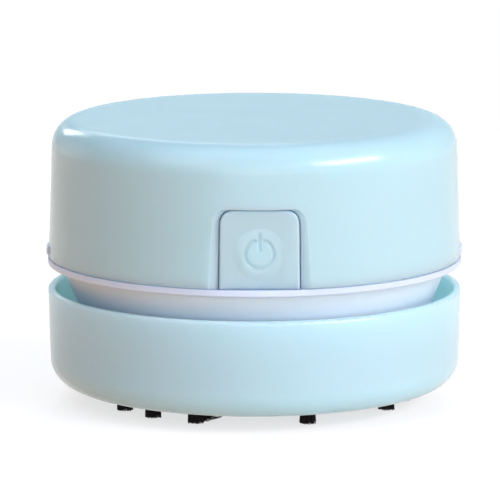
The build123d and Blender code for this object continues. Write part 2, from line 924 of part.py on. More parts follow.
def bearing_bushes():
    """Two sintered bushes that the shaft runs in."""
    outer = motor_bush_diameter / 2
    inner = shaft_diameter / 2 + shaft_running_clearance
    front = tube(outer, inner, motor_seat_z - motor_boss_length, motor_seat_z + motor_can_wall)
    rear_low_z = motor_top_z - motor_cap_wall - cap_boss_depth + bush_recess
    rear = tube(outer, inner, rear_low_z, boss_top_z - bush_recess)
    return Compound([front, rear])


def motor_shaft():
    """Steel shaft through the bushes, the armature and the impeller's hub."""
    return disc(shaft_diameter / 2, impeller_bottom_z, boss_top_z - 2 * bush_recess)


def armature_core():
    """Laminated three-pole core pressed on the shaft."""
    high = core_low_z + core_length
    shoe_ring = tube(core_radius, core_radius - shoe_thickness, core_low_z, high)
    shoes = []
    for turn in (0, 120, 240):
        reach = 3 * core_radius
        spread = reach * tan(radians(shoe_half_degrees))
        wedge = Polygon((0, 0), (reach, -spread), (reach, spread), align=None)
        sector = extrude(Pos(0, 0, core_low_z) * wedge, core_length)
        arm = block(0, core_radius - 0.5, -core_arm_half, core_arm_half, core_low_z, high)
        shoes.append(Rot(0, 0, turn) * ((shoe_ring & sector) + arm))
    hub = disc(core_hub_radius, core_low_z, high)
    return merged([hub] + shoes) - disc(shaft_diameter / 2, 0, top_z)


def armature_windings():
    """Copper coil wound around each of the core's three arms."""
    low, high = core_low_z - winding_overhang, core_low_z + core_length + winding_overhang
    outer = core_radius - shoe_thickness - winding_air
    inner = core_hub_radius + winding_air
    coil_block = block(inner, outer, -winding_half_width, winding_half_width, low, high)
    coil_block = fillet(coil_block.edges().filter_by(Axis.X), winding_round)
    coil_block = coil_block & disc(outer, low, high)
    arm = block(0, outer + 1, -core_arm_half, core_arm_half, core_low_z, core_low_z + core_length)
    return Compound(around(coil_block - arm, 3))


def commutator():
    """Three-segment commutator on the shaft, level with the brushes."""
    low = can_top_z - brush_drop - commutator_length / 2
    body = tube(commutator_radius, shaft_diameter / 2, low, low + commutator_length)
    half_slit = commutator_slit / 2
    slit_x = (commutator_radius + shaft_diameter / 2) / 2
    high = low + commutator_length
    slit = block(slit_x, commutator_radius + 1, -half_slit, half_slit, low + 2 * half_slit, high)
    return body - around(slit, 3, 60)


def impeller():
    """Centrifugal fan: back disc, hub and swept vanes open to the intake eye."""
    disc_z = impeller_top_z - impeller_disc
    body = disc(impeller_radius, disc_z, impeller_top_z)
    body = body + disc(impeller_hub_radius, impeller_bottom_z, impeller_top_z)
    outer = impeller_radius - blade_thickness / 2 - blade_inset
    turn = radians(blade_sweep_degrees)
    start = Vector(blade_inner_radius, 0)
    end = Vector(outer * cos(turn), -outer * sin(turn))
    chord = end - start
    bulge = Vector(-chord.Y, chord.X).normalized() * blade_bow
    middle = (start + end) / 2 + bulge
    vane = SlotArc(ThreePointArc(start, middle, end), blade_thickness)
    blade = extrude(Pos(0, 0, impeller_bottom_z) * vane, disc_z - impeller_bottom_z)
    return body + around(blade, blade_count) - disc(shaft_diameter / 2, 0, top_z)


def motor_clamp():
    """Strap over the motor with two feet on the deck."""
    half = clamp_width / 2
    inner = motor_half_round + clamp_clearance
    outer = inner + clamp_thickness
    foot_end = outer + clamp_foot_length
    bridge = block(-half, half, -outer, outer, motor_top_z, motor_top_z + clamp_thickness)
    pieces = [bridge]
    for side in (-1, 1):
        y0, y1 = sorted((side * inner, side * outer))
        pieces.append(block(-half, half, y0, y1, deck_z, motor_top_z + clamp_thickness))
        y0, y1 = sorted((side * inner, side * foot_end))
        pieces.append(block(-half, half, y0, y1, deck_z, deck_z + clamp_foot_thickness))
    strap = merged(pieces)
    boss_hole = disc(motor_boss_diameter / 2, motor_top_z - 1, top_z)
    screw_hole = disc(screw_diameter / 2, deck_z - 1, deck_z + clamp_foot_thickness + 1)
    screw_holes = [Pos(0, side * clamp_screw_y(), 0) * screw_hole for side in (-1, 1)]
    return strap - boss_hole - screw_holes


def motor_clamp_screws():
    """Two screws through the clamp's feet into the deck."""
    head_z = deck_z + clamp_foot_thickness
    length = head_z - cup_under_z - screw_tip_room
    return Compound([screw(0, side * clamp_screw_y(), head_z, length) for side in (-1, 1)])


# ================================================================== battery bay
def battery_tray():
    """Tray with a trough for each cell, end walls for the contacts and four screw ears."""
    inner_x = cell_x - trough_radius - tray_inner_wall
    outer_x = cell_x + trough_radius + tray_outer_wall
    end_y = pocket_half_length + tray_end_wall
    wall_z = deck_z + tray_wall_height
    end_z = deck_z + tray_end_height
    pieces = []
    for side in (-1, 1):
        x0, x1 = sorted((side * inner_x, side * outer_x))
        pieces.append(block(x0, x1, -end_y, end_y, deck_z, wall_z))
        pieces.append(block(x0, x1, -end_y, -pocket_half_length, deck_z, end_z))
        for end in (-1, 1):
            ear = disc(ear_radius, deck_z, deck_z + tray_ear_thickness)
            arm_x0, arm_x1 = sorted((side * (outer_x - 0.5), side * ear_x()))
            y_mid = end * ear_offset_y
            arm = block(
                arm_x0, arm_x1, y_mid - ear_radius, y_mid + ear_radius, deck_z, deck_z + tray_ear_thickness
            )
            pieces.append(Pos(side * ear_x(), y_mid, 0) * ear + arm)
    pieces.append(block(-outer_x, outer_x, pocket_half_length, end_y, deck_z, end_z))
    tray = merged(pieces)
    troughs = [
        rod_y(trough_radius, side * cell_x, cell_z, -pocket_half_length, pocket_half_length)
        for side in (-1, 1)
    ]
    headroom = [
        block(
            *sorted((side * (cell_x - trough_radius), side * (cell_x + trough_radius))),
            -pocket_half_length,
            pocket_half_length,
            cell_z,
            top_z,
        )
        for side in (-1, 1)
    ]
    hole = disc(screw_diameter / 2, deck_z - 1, deck_z + tray_ear_thickness + 1)
    holes = [
        Pos(side * ear_x(), end * ear_offset_y, 0) * hole for side in (-1, 1) for end in (-1, 1)
    ]
    tray = tray & disc(upstand_inner_radius - tray_wall_gap, deck_z, top_z)
    return tray - troughs - headroom - holes


def tray_screws():
    """Four screws through the tray's ears into the deck."""
    head_z = deck_z + tray_ear_thickness
    length = head_z - cup_under_z + deck_boss_drop - screw_tip_room
    return Compound(
        [
            screw(side * ear_x(), end * ear_offset_y, head_z, length)
            for side in (-1, 1)
            for end in (-1, 1)
        ]
    )


def battery_cell(side):
    """One AA cell. Its nub looks to the rear on the left and to the front on the right."""
    towards = -side
    middle = towards * cell_shift
    can_length = cell_length - cell_nub_length
    flat_end = middle - towards * cell_length / 2
    shoulder = flat_end + towards * can_length
    tip = shoulder + towards * cell_nub_length
    can = rod_y(cell_radius, side * cell_x, cell_z, *sorted((flat_end, shoulder)))
    can = fillet(can.edges().filter_by(GeomType.CIRCLE), cell_edge_round)
    nub = rod_y(cell_nub_diameter / 2, side * cell_x, cell_z, *sorted((shoulder, tip)))
    return can + nub


def contact_plate(x, end_y, tail):
    """Sprung-steel plate against an end wall, with or without a solder tail."""
    inward = -1 if end_y > 0 else 1
    y0, y1 = sorted((end_y, end_y + inward * contact_thickness))
    half = contact_width / 2
    plate = block(x - half, x + half, y0, y1, cell_z - half, deck_z + tray_end_height)
    if tail:
        tail_x = tail * (abs(x) - contact_tail_inset)
        half_tail = contact_tail_width / 2
        tail_z = deck_z + tray_end_height
        plate = plate + block(
            tail_x - half_tail, tail_x + half_tail, y0, y1, tail_z - 2, tail_z + contact_tail_height
        )
    return plate


def contact_dimple(x, end_y):
    """Low round dimple that meets a cell's nub."""
    inward = -1 if end_y > 0 else 1
    face = end_y + inward * contact_thickness
    root = face - inward * contact_thickness / 2
    tip = face + inward * (contact_dimple_rise - contact_air)
    return rod_y(contact_dimple_radius, x, cell_z, *sorted((root, tip)))


def contact_coil(x, end_y):
    """Conical coil that presses on a cell's flat end."""
    inward = -1 if end_y > 0 else 1
    face = end_y + inward * (contact_thickness - contact_coil_lap)
    length = contact_spring_length + contact_coil_lap - contact_air
    turn = Rot(-90, 0, 0) if inward > 0 else Rot(90, 0, 0)
    cone = coil(contact_coil_radius, contact_spring_wire, contact_coil_turns, length, cone=-30)
    return Pos(x, face, cell_z) * turn * cone


def contact_negative():
    """Front left contact with its coil, on the left cell's flat end."""
    end_y = -pocket_half_length
    return contact_plate(-cell_x, end_y, -1) + contact_coil(-cell_x, end_y)


def contact_positive():
    """Front right contact with its dimple, on the right cell's nub."""
    end_y = -pocket_half_length
    return contact_plate(cell_x, end_y, 1) + contact_dimple(cell_x, end_y)


def contact_bridge():
    """Rear contact that joins the two cells in series."""
    end_y = pocket_half_length
    y0, y1 = end_y - contact_thickness, end_y
    half = contact_width / 2
    bar = block(-cell_x, cell_x, y0, y1, cell_z + half - 4, cell_z + half)
    left = contact_plate(-cell_x, end_y, 0) + contact_dimple(-cell_x, end_y)
    right = contact_plate(cell_x, end_y, 0) + contact_coil(cell_x, end_y)
    return merged([bar, left, right])


# ================================================================== switch and wires
def switch_board():
    """Small circuit board that carries the switch, screwed to two posts."""
    board = block(
        -board_half_width, board_half_width, switch_back_y, board_back_y, board_bottom_z, board_top_z
    )
    holes = [
        rod_y(
            screw_diameter / 2,
            side * board_screw_x(),
            board_screw_z(),
            switch_back_y - 1,
            board_back_y + 1,
        )
        for side in (-1, 1)
    ]
    return board - holes


def switch_board_screws():
    """Two short screws that hold the board to its posts."""
    length = board_thickness + board_post_depth - screw_tip_room
    screws = []
    for side in (-1, 1):
        laid = Rot(90, 0, 0) * screw(0, 0, 0, length)
        place = Pos(side * board_screw_x(), switch_back_y, board_screw_z())
        screws.append(place * laid)
    return Compound(screws)


def switch_body():
    """Housing of the latching push switch, open for its plunger."""
    half = switch_body_size / 2
    z0, z1 = pad_z - half, pad_z + half
    housing = block(-half, half, switch_front_y, switch_back_y, z0, z1)
    housing = fillet(housing.edges().filter_by(Axis.Y), switch_body_round)
    bore = rod_y(
        switch_plunger_diameter / 2 + switch_bore_gap,
        0,
        pad_z,
        switch_front_y - 1,
        switch_back_y - switch_back_wall,
    )
    return housing - bore


def switch_plunger():
    """Plunger that the button's boss pushes into the switch."""
    inner_end = switch_back_y - switch_back_wall - button_travel - switch_end_gap
    return rod_y(switch_plunger_diameter / 2, 0, pad_z, boss_end_y, inner_end)


def button_outline(grow, extra_bottom=0.0):
    """The button's front outline: a slight taper and rounded top corners, grown all round."""
    top = button_top_width / 2 + grow
    bottom = button_bottom_width / 2 + grow
    low = button_bottom_z - extra_bottom
    high = button_top_z + grow
    corner = button_corner_round + grow
    line = FilletPolyline(
        (-bottom, low), (bottom, low), (top, high), (-top, high), radius=[0, 0, corner, corner], close=True
    )
    return make_face(line)


def front_prism(outline, y0, y1):
    """A front outline, drawn in X and Z, made solid between two Y planes."""
    face = Plane(origin=(0, y1, 0), x_dir=(1, 0, 0), z_dir=(0, -1, 0)) * outline
    return extrude(face, y1 - y0)


def power_symbol():
    """The standby sign, a broken ring and a bar, as round rods that engrave a soft groove."""
    rod_radius = (symbol_line**2 / 4 + symbol_depth**2) / (2 * symbol_depth)
    over = rod_radius - symbol_depth
    ring = Pos(0, 0, over) * Torus(symbol_radius, rod_radius)
    reach = 2 * symbol_radius
    spread = reach * tan(radians(symbol_gap_degrees))
    wedge = Polygon((0, 0), (spread, reach), (-spread, reach), align=None)
    ring = ring - extrude(wedge, rod_radius + over, both=True)
    end_low = symbol_bar_low + symbol_line / 2
    end_high = symbol_bar_low + symbol_bar_length - symbol_line / 2
    bar = Pos(0, end_low, over) * Rot(-90, 0, 0) * Cylinder(rod_radius, end_high - end_low, align=BASE)
    rounds = [Pos(0, end, over) * Sphere(rod_radius) for end in (end_low, end_high)]
    turn = radians(symbol_gap_degrees)
    for side in (-1, 1):
        rounds.append(
            Pos(side * symbol_radius * sin(turn), symbol_radius * cos(turn), over) * Sphere(rod_radius)
        )
    return merged([ring, bar, *rounds])


def finger_pad():
    """Raised round pad on the button's face, with a soft shoulder all round."""
    foot_radius = pad_radius + pad_foot
    sunk = -button_wall / 2
    pad = turned(
        [
            (0, sunk),
            (foot_radius, sunk),
            (foot_radius, 0),
            (pad_radius, 0),
            (pad_radius - pad_shoulder, pad_rise),
            (0, pad_rise),
        ],
        {3: pad_shoulder_round, 4: pad_shoulder_round},
    )
    return Pos(0, button_face_y, pad_z) * Rot(90, 0, 0) * pad


def power_button():
    """Hollow button cap: rounded face, raised finger pad, engraved sign, flange and boss."""
    cap = front_prism(button_outline(0), button_face_y, flange_back_y)
    front_edges = cap.faces().sort_by(Axis.Y)[0].edges().sort_by(Axis.Z)[1:]
    cap = fillet(front_edges, button_edge_round)
    flange = front_prism(button_outline(button_flange), flange_front_y, flange_back_y)
    keep = block(
        -flange_half_width, flange_half_width, -shell_radius, 0, button_bottom_z, flange_top_z
    )
    cap = cap + (flange & keep)
    cap = cap + finger_pad()
    half_cavity = button_top_width / 2 - button_wall
    cavity = block(
        -half_cavity,
        half_cavity,
        button_face_y + button_wall,
        flange_back_y + 1,
        button_bottom_z + button_wall,
        button_top_z - button_wall,
    )
    boss = rod_y(
        button_boss_radius, 0, pad_z, button_face_y + button_wall - 0.3, boss_end_y
    )
    sign = Pos(0, button_face_y - pad_rise, pad_z) * Rot(90, 0, 0) * power_symbol()
    return cap - cavity + boss - sign


def button_spring():
    """Return spring around the plunger, between the switch and the button's face."""
    far = button_face_y + button_wall + spring_seat_gap
    near = switch_front_y - spring_seat_gap
    length = near - far
    turned_coil = Rot(90, 0, 0) * coil(button_spring_radius, spring_wire, 5, length)
    return Pos(0, near, pad_z) * turned_coil


def battery_lead():
    """Red wire from the positive contact to the switch board."""
    tail_z = deck_z + tray_end_height + contact_tail_height
    tail_y = -pocket_half_length + contact_thickness / 2
    tail_x = cell_x - contact_tail_inset
    board_x = board_half_width - board_post_width / 2
    board_y = (switch_back_y + board_back_y) / 2
    over = max(tail_z, board_top_z) + lead_arch
    return lead(
        [
            (tail_x, tail_y, tail_z),
            (tail_x, tail_y, over),
            (board_x, board_y, over),
            (board_x, board_y, board_top_z),
        ]
    )


def switch_lead():
    """Red wire from the switch board to the right brush terminal."""
    board_y = (switch_back_y + board_back_y) / 2
    end_z = motor_top_z + lead_end_rise
    over = board_top_z + lead_rise
    return lead(
        [
            (lead_board_offset, board_y, board_top_z),
            (lead_board_offset, board_y, over),
            (brush_x, board_y + lead_run, end_z),
            (brush_x, -brush_half_width, end_z),
        ]
    )


def motor_lead():
    """Black wire from the negative contact to the left brush terminal."""
    tail_z = deck_z + tray_end_height + contact_tail_height
    tail_y = -pocket_half_length + contact_thickness / 2
    tail_x = -(cell_x - contact_tail_inset)
    end_z = motor_top_z + lead_end_rise
    return lead(
        [
            (tail_x, tail_y, tail_z),
            (tail_x, tail_y, tail_z + lead_rise),
            (-brush_x, tail_y + lead_run, end_z),
            (-brush_x, -brush_half_width, end_z),
        ]
    )


# ================================================================== cap shell
def shell_solid():
    """The cap's outside as a solid, without its hollow."""
    top_radius = shell_outer(top_z)
    return turned(
        [(0, deck_z), (shell_radius, deck_z), (top_radius, top_z), (0, top_z)],
        {1: shell_edge_round, 2: shell_top_round},
    )


def top_shell():
    """Cap: drafted wall, flat top with a wide round, button opening and tab notches."""
    top_radius = shell_outer(top_z)
    hollow = turned(
        [
            (0, deck_z),
            (shell_radius - shell_wall, deck_z),
            (top_radius - shell_wall, roof_z),
            (0, roof_z),
        ],
        {2: shell_top_round - shell_wall},
    )
    outside = shell_solid()
    half_frame = sqrt(shell_inner(deck_z) ** 2 - frame_back_y**2) + 1
    frame = outside & block(
        -half_frame, half_frame, -shell_radius, frame_back_y, deck_z, flange_top_z + frame_rise
    )
    shell = outside - hollow + frame
    shell = shell + catch_ribs()
    opening = front_prism(
        button_outline(button_groove, extra_bottom=3), -shell_radius - 1, frame_back_y + 1
    )
    half_notch = tab_width / 2 + tab_gap
    notch_top = tab_top_z + tab_gap
    notches = [
        block(
            *sorted((side * (shell_radius - shell_wall - 2), side * (shell_radius + 1))),
            -half_notch,
            half_notch,
            deck_z - 1,
            notch_top,
        )
        for side in (-1, 1)
    ]
    return shell - facet_cut() - opening - notches


def facet_outline(grow, y):
    """The facet's outline in an upright plane, grown at both sides."""
    top = button_top_z + button_groove
    half_bottom = button_bottom_width / 2 + button_groove + facet_bottom_margin + grow
    half_top = button_top_width / 2 + button_groove + facet_top_margin + grow
    line = FilletPolyline(
        (-half_bottom, deck_z - 1),
        (half_bottom, deck_z - 1),
        (half_top, top),
        (-half_top, top),
        radius=[0, 0, facet_corner_round, facet_corner_round],
        close=True,
    )
    return Plane(origin=(0, y, 0), x_dir=(1, 0, 0), z_dir=(0, -1, 0)) * make_face(line)


def facet_cut():
    """What is cut off the wall for the flat facet; its sides slope out to the wall."""
    front_y = -shell_radius - 1
    grow = (facet_y - front_y) * tan(radians(facet_slope_degrees))
    return loft([facet_outline(0, facet_y), facet_outline(grow, front_y)], ruled=True)


def catch_ribs():
    """Ribs inside the wall that the tabs' barbs hold down."""
    high = tab_plate_top_z - tab_barb_height - catch_gap
    low = high - catch_height
    inner = shell_inner(tab_plate_top_z) - catch_reach
    ring = tube(shell_inner(low) + shell_wall / 3, inner, low, high)
    half = tab_width / 2 + catch_margin
    ribs = []
    for side in (-1, 1):
        x0, x1 = sorted((side * shell_radius / 2, side * shell_radius))
        ribs.append(ring & block(x0, x1, -half, half, low, high))
    return ribs


# ================================================================== export
def parts():
    """Every node's name and solid."""
    right_tab = release_tab()
    right_spring = tab_spring()
    return {
        "dust_dish": dust_dish(),
        "bristle_tufts": bristle_tufts(),
        "mid_funnel": mid_funnel(),
        "seal_ring": seal_ring(),
        "fan_cover": fan_cover(),
        "fan_cover_screws": fan_cover_screws(),
        "filter_frame": filter_frame(),
        "filter_disc": filter_disc(),
        "motor_can": motor_can(),
        "motor_end_cap": motor_end_cap(),
        "brush_terminals": brush_terminals(),
        "field_magnets": field_magnets(),
        "bearing_bushes": bearing_bushes(),
        "motor_shaft": motor_shaft(),
        "armature_core": armature_core(),
        "armature_windings": armature_windings(),
        "commutator": commutator(),
        "impeller": impeller(),
        "motor_clamp": motor_clamp(),
        "motor_clamp_screws": motor_clamp_screws(),
        "battery_tray": battery_tray(),
        "tray_screws": tray_screws(),
        "battery_cell_left": battery_cell(-1),
        "battery_cell_right": battery_cell(1),
        "contact_negative": contact_negative(),
        "contact_positive": contact_positive(),
        "contact_bridge": contact_bridge(),
        "switch_board": switch_board(),
        "switch_board_screws": switch_board_screws(),
        "switch_body": switch_body(),
        "switch_plunger": switch_plunger(),
        "power_button": power_button(),
        "button_spring": button_spring(),
        "battery_lead": battery_lead(),
        "switch_lead": switch_lead(),
        "motor_lead": motor_lead(),
        "release_tab_right": right_tab,
        "release_tab_left": mirrored_x(right_tab),
        "tab_spring_right": right_spring,
        "tab_spring_left": mirrored_x(right_spring),
        "top_shell": top_shell(),
    }


os.makedirs("parts", exist_ok=True)
for name, shape in parts().items():
    export_step(shape, f"parts/{name}.step")
print(f"shell radius {shell_radius:.2f}, overall height {top_z:.2f}")
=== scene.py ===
# %% [markdown]
# # Desktop mini vacuum cleaner
#
# A round battery sweeper for crumbs on a desk. Its solids come packed as a fixed frame,
# in metres, with +Z up and the power button towards -Y. This script gives every surface
# its finish, makes the bristles, springs and felt that solids can't show, and sets up a
# pale table, soft lamps and a long-lens camera.

# %% Load the frame
import json
import math
import random

import bpy
import numpy as np
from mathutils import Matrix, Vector

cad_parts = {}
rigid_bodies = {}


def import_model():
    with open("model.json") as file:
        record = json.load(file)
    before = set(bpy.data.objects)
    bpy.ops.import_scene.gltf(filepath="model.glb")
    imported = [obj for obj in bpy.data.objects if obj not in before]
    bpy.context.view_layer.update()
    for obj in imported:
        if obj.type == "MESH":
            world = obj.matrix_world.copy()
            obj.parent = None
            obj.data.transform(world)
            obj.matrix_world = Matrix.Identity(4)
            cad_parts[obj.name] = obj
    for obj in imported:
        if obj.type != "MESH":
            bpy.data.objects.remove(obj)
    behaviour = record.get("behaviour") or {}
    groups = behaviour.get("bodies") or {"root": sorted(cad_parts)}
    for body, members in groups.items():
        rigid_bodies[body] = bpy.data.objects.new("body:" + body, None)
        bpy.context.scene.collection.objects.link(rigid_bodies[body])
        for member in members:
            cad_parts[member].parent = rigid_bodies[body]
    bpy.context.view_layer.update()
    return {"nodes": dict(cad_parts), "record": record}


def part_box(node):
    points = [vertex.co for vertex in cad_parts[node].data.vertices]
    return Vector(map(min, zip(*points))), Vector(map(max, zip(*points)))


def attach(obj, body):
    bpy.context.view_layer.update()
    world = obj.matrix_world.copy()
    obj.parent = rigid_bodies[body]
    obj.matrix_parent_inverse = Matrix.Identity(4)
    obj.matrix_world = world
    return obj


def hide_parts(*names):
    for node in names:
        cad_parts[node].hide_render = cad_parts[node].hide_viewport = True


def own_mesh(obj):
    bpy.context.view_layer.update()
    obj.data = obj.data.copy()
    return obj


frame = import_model()
nodes = frame["nodes"]

# %% [markdown]
# ## Writing shaders as sums
#
# A `Tap` is one output of a shader node. Adding, subtracting or multiplying taps adds
# the Math nodes, so a mask reads like the sum it is. A `Recipe` owns a node tree, and its
# `node` method makes every other node: its type, its settings, then its sockets.


# %% Tap: one output
class Tap:
    """One output of a shader node, ready for sums."""

    def __init__(self, recipe, socket):
        self.recipe = recipe
        self.socket = socket

    def _maths(self, operation, first, second):
        sockets = {0: first, 1: second}
        return self.recipe.node("ShaderNodeMath", {"operation": operation}, sockets)

    def __add__(self, other):
        return self._maths("ADD", self, other)

    def __radd__(self, other):
        return self._maths("ADD", other, self)

    def __sub__(self, other):
        return self._maths("SUBTRACT", self, other)

    def __rsub__(self, other):
        return self._maths("SUBTRACT", other, self)

    def __mul__(self, other):
        return self._maths("MULTIPLY", self, other)

    def __gt__(self, other):
        return self._maths("GREATER_THAN", self, other)

    def __lt__(self, other):
        return self._maths("LESS_THAN", self, other)

    def at_least(self, other):
        return self._maths("MAXIMUM", self, other)

    def at_most(self, other):
        return self._maths("MINIMUM", self, other)


print("a tap can be summed, scaled and compared")


# %% Recipe: one node tree
class Recipe:
    """The node tree of one material or sky."""

    def __init__(self, tree, material=None):
        self.tree = tree
        self.material = material
        self.surface = tree.nodes.get("Principled BSDF")

    def node(self, kind, settings=None, sockets=None, output=0):
        made = self.tree.nodes.new(kind)
        for name, value in (settings or {}).items():
            setattr(made, name, value)
        for name, value in (sockets or {}).items():
            self.feed(made.inputs[name], value)
        return Tap(self, made.outputs[output]) if made.outputs else made

    def feed(self, socket, value):
        if isinstance(value, Tap):
            self.tree.links.new(value.socket, socket)
        elif hasattr(value, "__len__") and len(value) == 3 and socket.type == "RGBA":
            socket.default_value = (*value, 1.0)
        else:
            socket.default_value = value

    def cover(self, colour, roughness, normal):
        """Feed what varies over the surface, and hand back the finished material."""
        self.feed(self.surface.inputs["Base Color"], colour)
        self.feed(self.surface.inputs["Roughness"], roughness)
        self.feed(self.surface.inputs["Normal"], normal)
        return self.material

    def place(self):
        """Coordinates in metres that stay on the piece."""
        return self.node("ShaderNodeTexCoord", output="Object")

    def stretched(self, scale):
        """Those coordinates, scaled along each axis."""
        sockets = {"Vector": self.place(), "Scale": Vector(scale)}
        return self.node("ShaderNodeMapping", {}, sockets)

    def along(self, axis):
        """How far along X, Y or Z a point of the piece is, in metres."""
        return self.node("ShaderNodeSeparateXYZ", {}, {"Vector": self.place()}, output=axis)

    def noise(self, vector, scale, detail=2.0, rough=0.5):
        """Soft cloud between 0 and 1, with features about 1 / scale metres wide."""
        sockets = {"Vector": vector, "Scale": scale, "Detail": detail, "Roughness": rough}
        return self.node("ShaderNodeTexNoise", {}, sockets)

    def ramp(self, value, low, high):
        """0 at low and beyond, 1 at high and beyond, straight between."""
        sockets = {"Value": value, "From Min": low, "From Max": high}
        return self.node("ShaderNodeMapRange", {"clamp": True}, sockets)

    def blend(self, share, first, second):
        """A colour that is first where share is 0 and second where it is 1."""
        sockets = {0: share, 6: first, 7: second}
        return self.node("ShaderNodeMix", {"data_type": "RGBA"}, sockets, output=2)

    def relief(self, height, depth, under=None):
        """A normal from a height between 0 and 1 that stands depth metres high."""
        sockets = {"Height": height, "Distance": depth, "Strength": 1.0}
        if under is not None:
            sockets["Normal"] = under
        return self.node("ShaderNodeBump", {}, sockets)


print("a recipe makes, feeds and joins nodes")


# %% Start a finish
def finish(name, **sockets):
    """The Recipe of a new material that has these numbers on its surface's sockets."""
    material = bpy.data.materials.new(name)
    material.use_nodes = True
    recipe = Recipe(material.node_tree, material)
    for socket, value in sockets.items():
        recipe.feed(recipe.surface.inputs[socket.replace("_", " ")], value)
    return recipe


def shade(colour, factor):
    """A colour made lighter or darker."""
    return tuple(min(1.0, channel * factor) for channel in colour)


print("a darker blue, for example", shade((0.2, 0.4, 0.6), 0.5))

# %% [markdown]
# ## Moulded plastics
#
# The casings are glossy ABS. Such a moulding isn't perfectly even: the gloss wavers like
# very fine orange peel, wiping leaves hair scratches, and the tint drifts by a percent or
# so. The walls are thin, so light also spreads inside them, which the subsurface numbers
# stand for. The inner mouldings come from a spark-eroded tool, which leaves a dull
# pebbled skin.
#
# Noise scales are features per metre, and relief depths are in metres.


# %% Glossy mouldings
WALL_GLOW = 0.0095
GLOW_REACH = (0.68, 0.95, 1.0)
LIP_UNDERSIDE = 0.02745
LIP_EDGE = 0.0005
TINT_DRIFT_SCALE = 38.0
HAIR_SCALE = 420.0
HAIR_STRETCH = (6.0, 1.0, 14.0)
HAIR_DEPTH = 0.0000015
SCRATCHES_ABOVE = (0.62, 0.7)
SMEAR_SCALE = 90.0
PEEL_SCALE = 520.0
PEEL_DEPTH = 0.000006


def glossy_moulding(name, colour, roughness=0.2, drift=0.02, through=0.9, painted_light_below=None):
    """Polished ABS. Under the funnel's lip the tint turns to the paler one given: painted
    light on the shaded cone, with the lip above in a darker tint, painted shade.
    """
    glow = {"Subsurface_Weight": through, "Subsurface_Scale": WALL_GLOW}
    recipe = finish(name, IOR=1.5, Subsurface_Radius=GLOW_REACH, **glow)
    cloud = recipe.noise(recipe.place(), TINT_DRIFT_SCALE, detail=3.0)
    tint = recipe.blend(cloud, shade(colour, 1.0 - drift), shade(colour, 1.0 + drift))
    # Painted light and shade: a paler tint below the lip's underside, the darker one above
    # it.
    if painted_light_below is not None:
        painted_lip_share = recipe.ramp(recipe.along("Z"), LIP_UNDERSIDE - LIP_EDGE, LIP_UNDERSIDE)
        tint = recipe.blend(painted_lip_share, painted_light_below, tint)
    hairs = recipe.noise(recipe.stretched(HAIR_STRETCH), HAIR_SCALE, detail=4.0, rough=0.7)
    scratch = recipe.ramp(hairs, *SCRATCHES_ABOVE)
    smear = recipe.noise(recipe.place(), SMEAR_SCALE, detail=4.0, rough=0.6)
    rough = roughness - 0.04 + smear * 0.08 + scratch * 0.05
    peel = recipe.relief(recipe.noise(recipe.place(), PEEL_SCALE, detail=1.0), PEEL_DEPTH)
    return recipe.cover(tint, rough, recipe.relief(hairs, HAIR_DEPTH, peel))


SHELL_BLUE = (0.40, 0.695, 0.94)
# The funnel's tints are painted: darker on the lip that the lamps light (painted shade),
# paler on the cone in the lip's shadow (painted light).
LIP_PAINTED_SHADE = (0.54, 0.68, 0.91)
CONE_PAINTED_LIGHT = (0.70, 0.90, 1.0)
finishes = {
    "shell_blue": glossy_moulding("shell_blue", SHELL_BLUE),
    "funnel_white": glossy_moulding(
        "funnel_white", LIP_PAINTED_SHADE, 0.32, drift=0.012, through=0.4, painted_light_below=CONE_PAINTED_LIGHT
    ),
}
print("glossy", sorted(finishes))

# %% Dull mouldings
PEBBLE_SCALE = 2600.0
DULL_DRIFT_SCALE = 60.0


def dull_moulding(name, colour, roughness, pebble):
    """ABS or nylon from a spark-eroded tool: pebbled and dull, with a random tint drift and
    painted shade that makes it darker in the pits.
    """
    recipe = finish(name, IOR=1.48)
    grain = recipe.noise(recipe.place(), PEBBLE_SCALE, detail=3.0, rough=0.6)
    cloud = recipe.noise(recipe.place(), DULL_DRIFT_SCALE, detail=2.0)
    # Painted shade: the pits of the pebbling are painted darker, mixed with a random tint
    # drift.
    tint = recipe.blend(grain * 0.5 + cloud * 0.5, shade(colour, 0.93), shade(colour, 1.05))
    rough = roughness - 0.06 + grain * 0.14
    return recipe.cover(tint, rough, recipe.relief(grain, pebble))


DULL = {
    "inner_plastic": ((0.70, 0.71, 0.69), 0.55, 0.00002),
    "fan_grey": ((0.075, 0.085, 0.10), 0.45, 0.00001),
    "motor_nylon": ((0.72, 0.69, 0.60), 0.42, 0.000008),
    "switch_black": ((0.018, 0.018, 0.020), 0.4, 0.000008),
}
for name, (colour, roughness, pebble) in DULL.items():
    finishes[name] = dull_moulding(name, colour, roughness, pebble)
print("dull", sorted(DULL))

# %% [markdown]
# ## Metals, felt, rubber and the rest
#
# Each is a base colour with the mark of how it is made: drawing lines along the motor
# can, stacked laminations and wound wire on the armature, speckle in sintered ferrite
# and bronze, zinc bloom on screws, fibres in the felt. The pores of the sintered parts
# and the grooves between laminations and turns are painted darker: painted shade.


# %% Drawn and turned metals
DRAWN_SCALE = 900.0
DRAWN_DEPTH = 0.000004
BLOOM_SCALE = 160.0
EVEN = (1.0, 1.0, 1.0)


def drawn_metal(name, colour, roughness, stretch):
    """Metal with fine lines left by drawing or turning, long where stretch is small."""
    recipe = finish(name, Metallic=1.0)
    lines = recipe.noise(recipe.stretched(stretch), DRAWN_SCALE, detail=3.0, rough=0.6)
    bloom = recipe.noise(recipe.place(), BLOOM_SCALE, detail=4.0, rough=0.65)
    tint = recipe.blend(bloom * 0.6 + lines * 0.4, shade(colour, 0.82), shade(colour, 1.1))
    rough = roughness - 0.08 + bloom * 0.1 + lines * 0.1
    return recipe.cover(tint, rough, recipe.relief(lines, DRAWN_DEPTH))


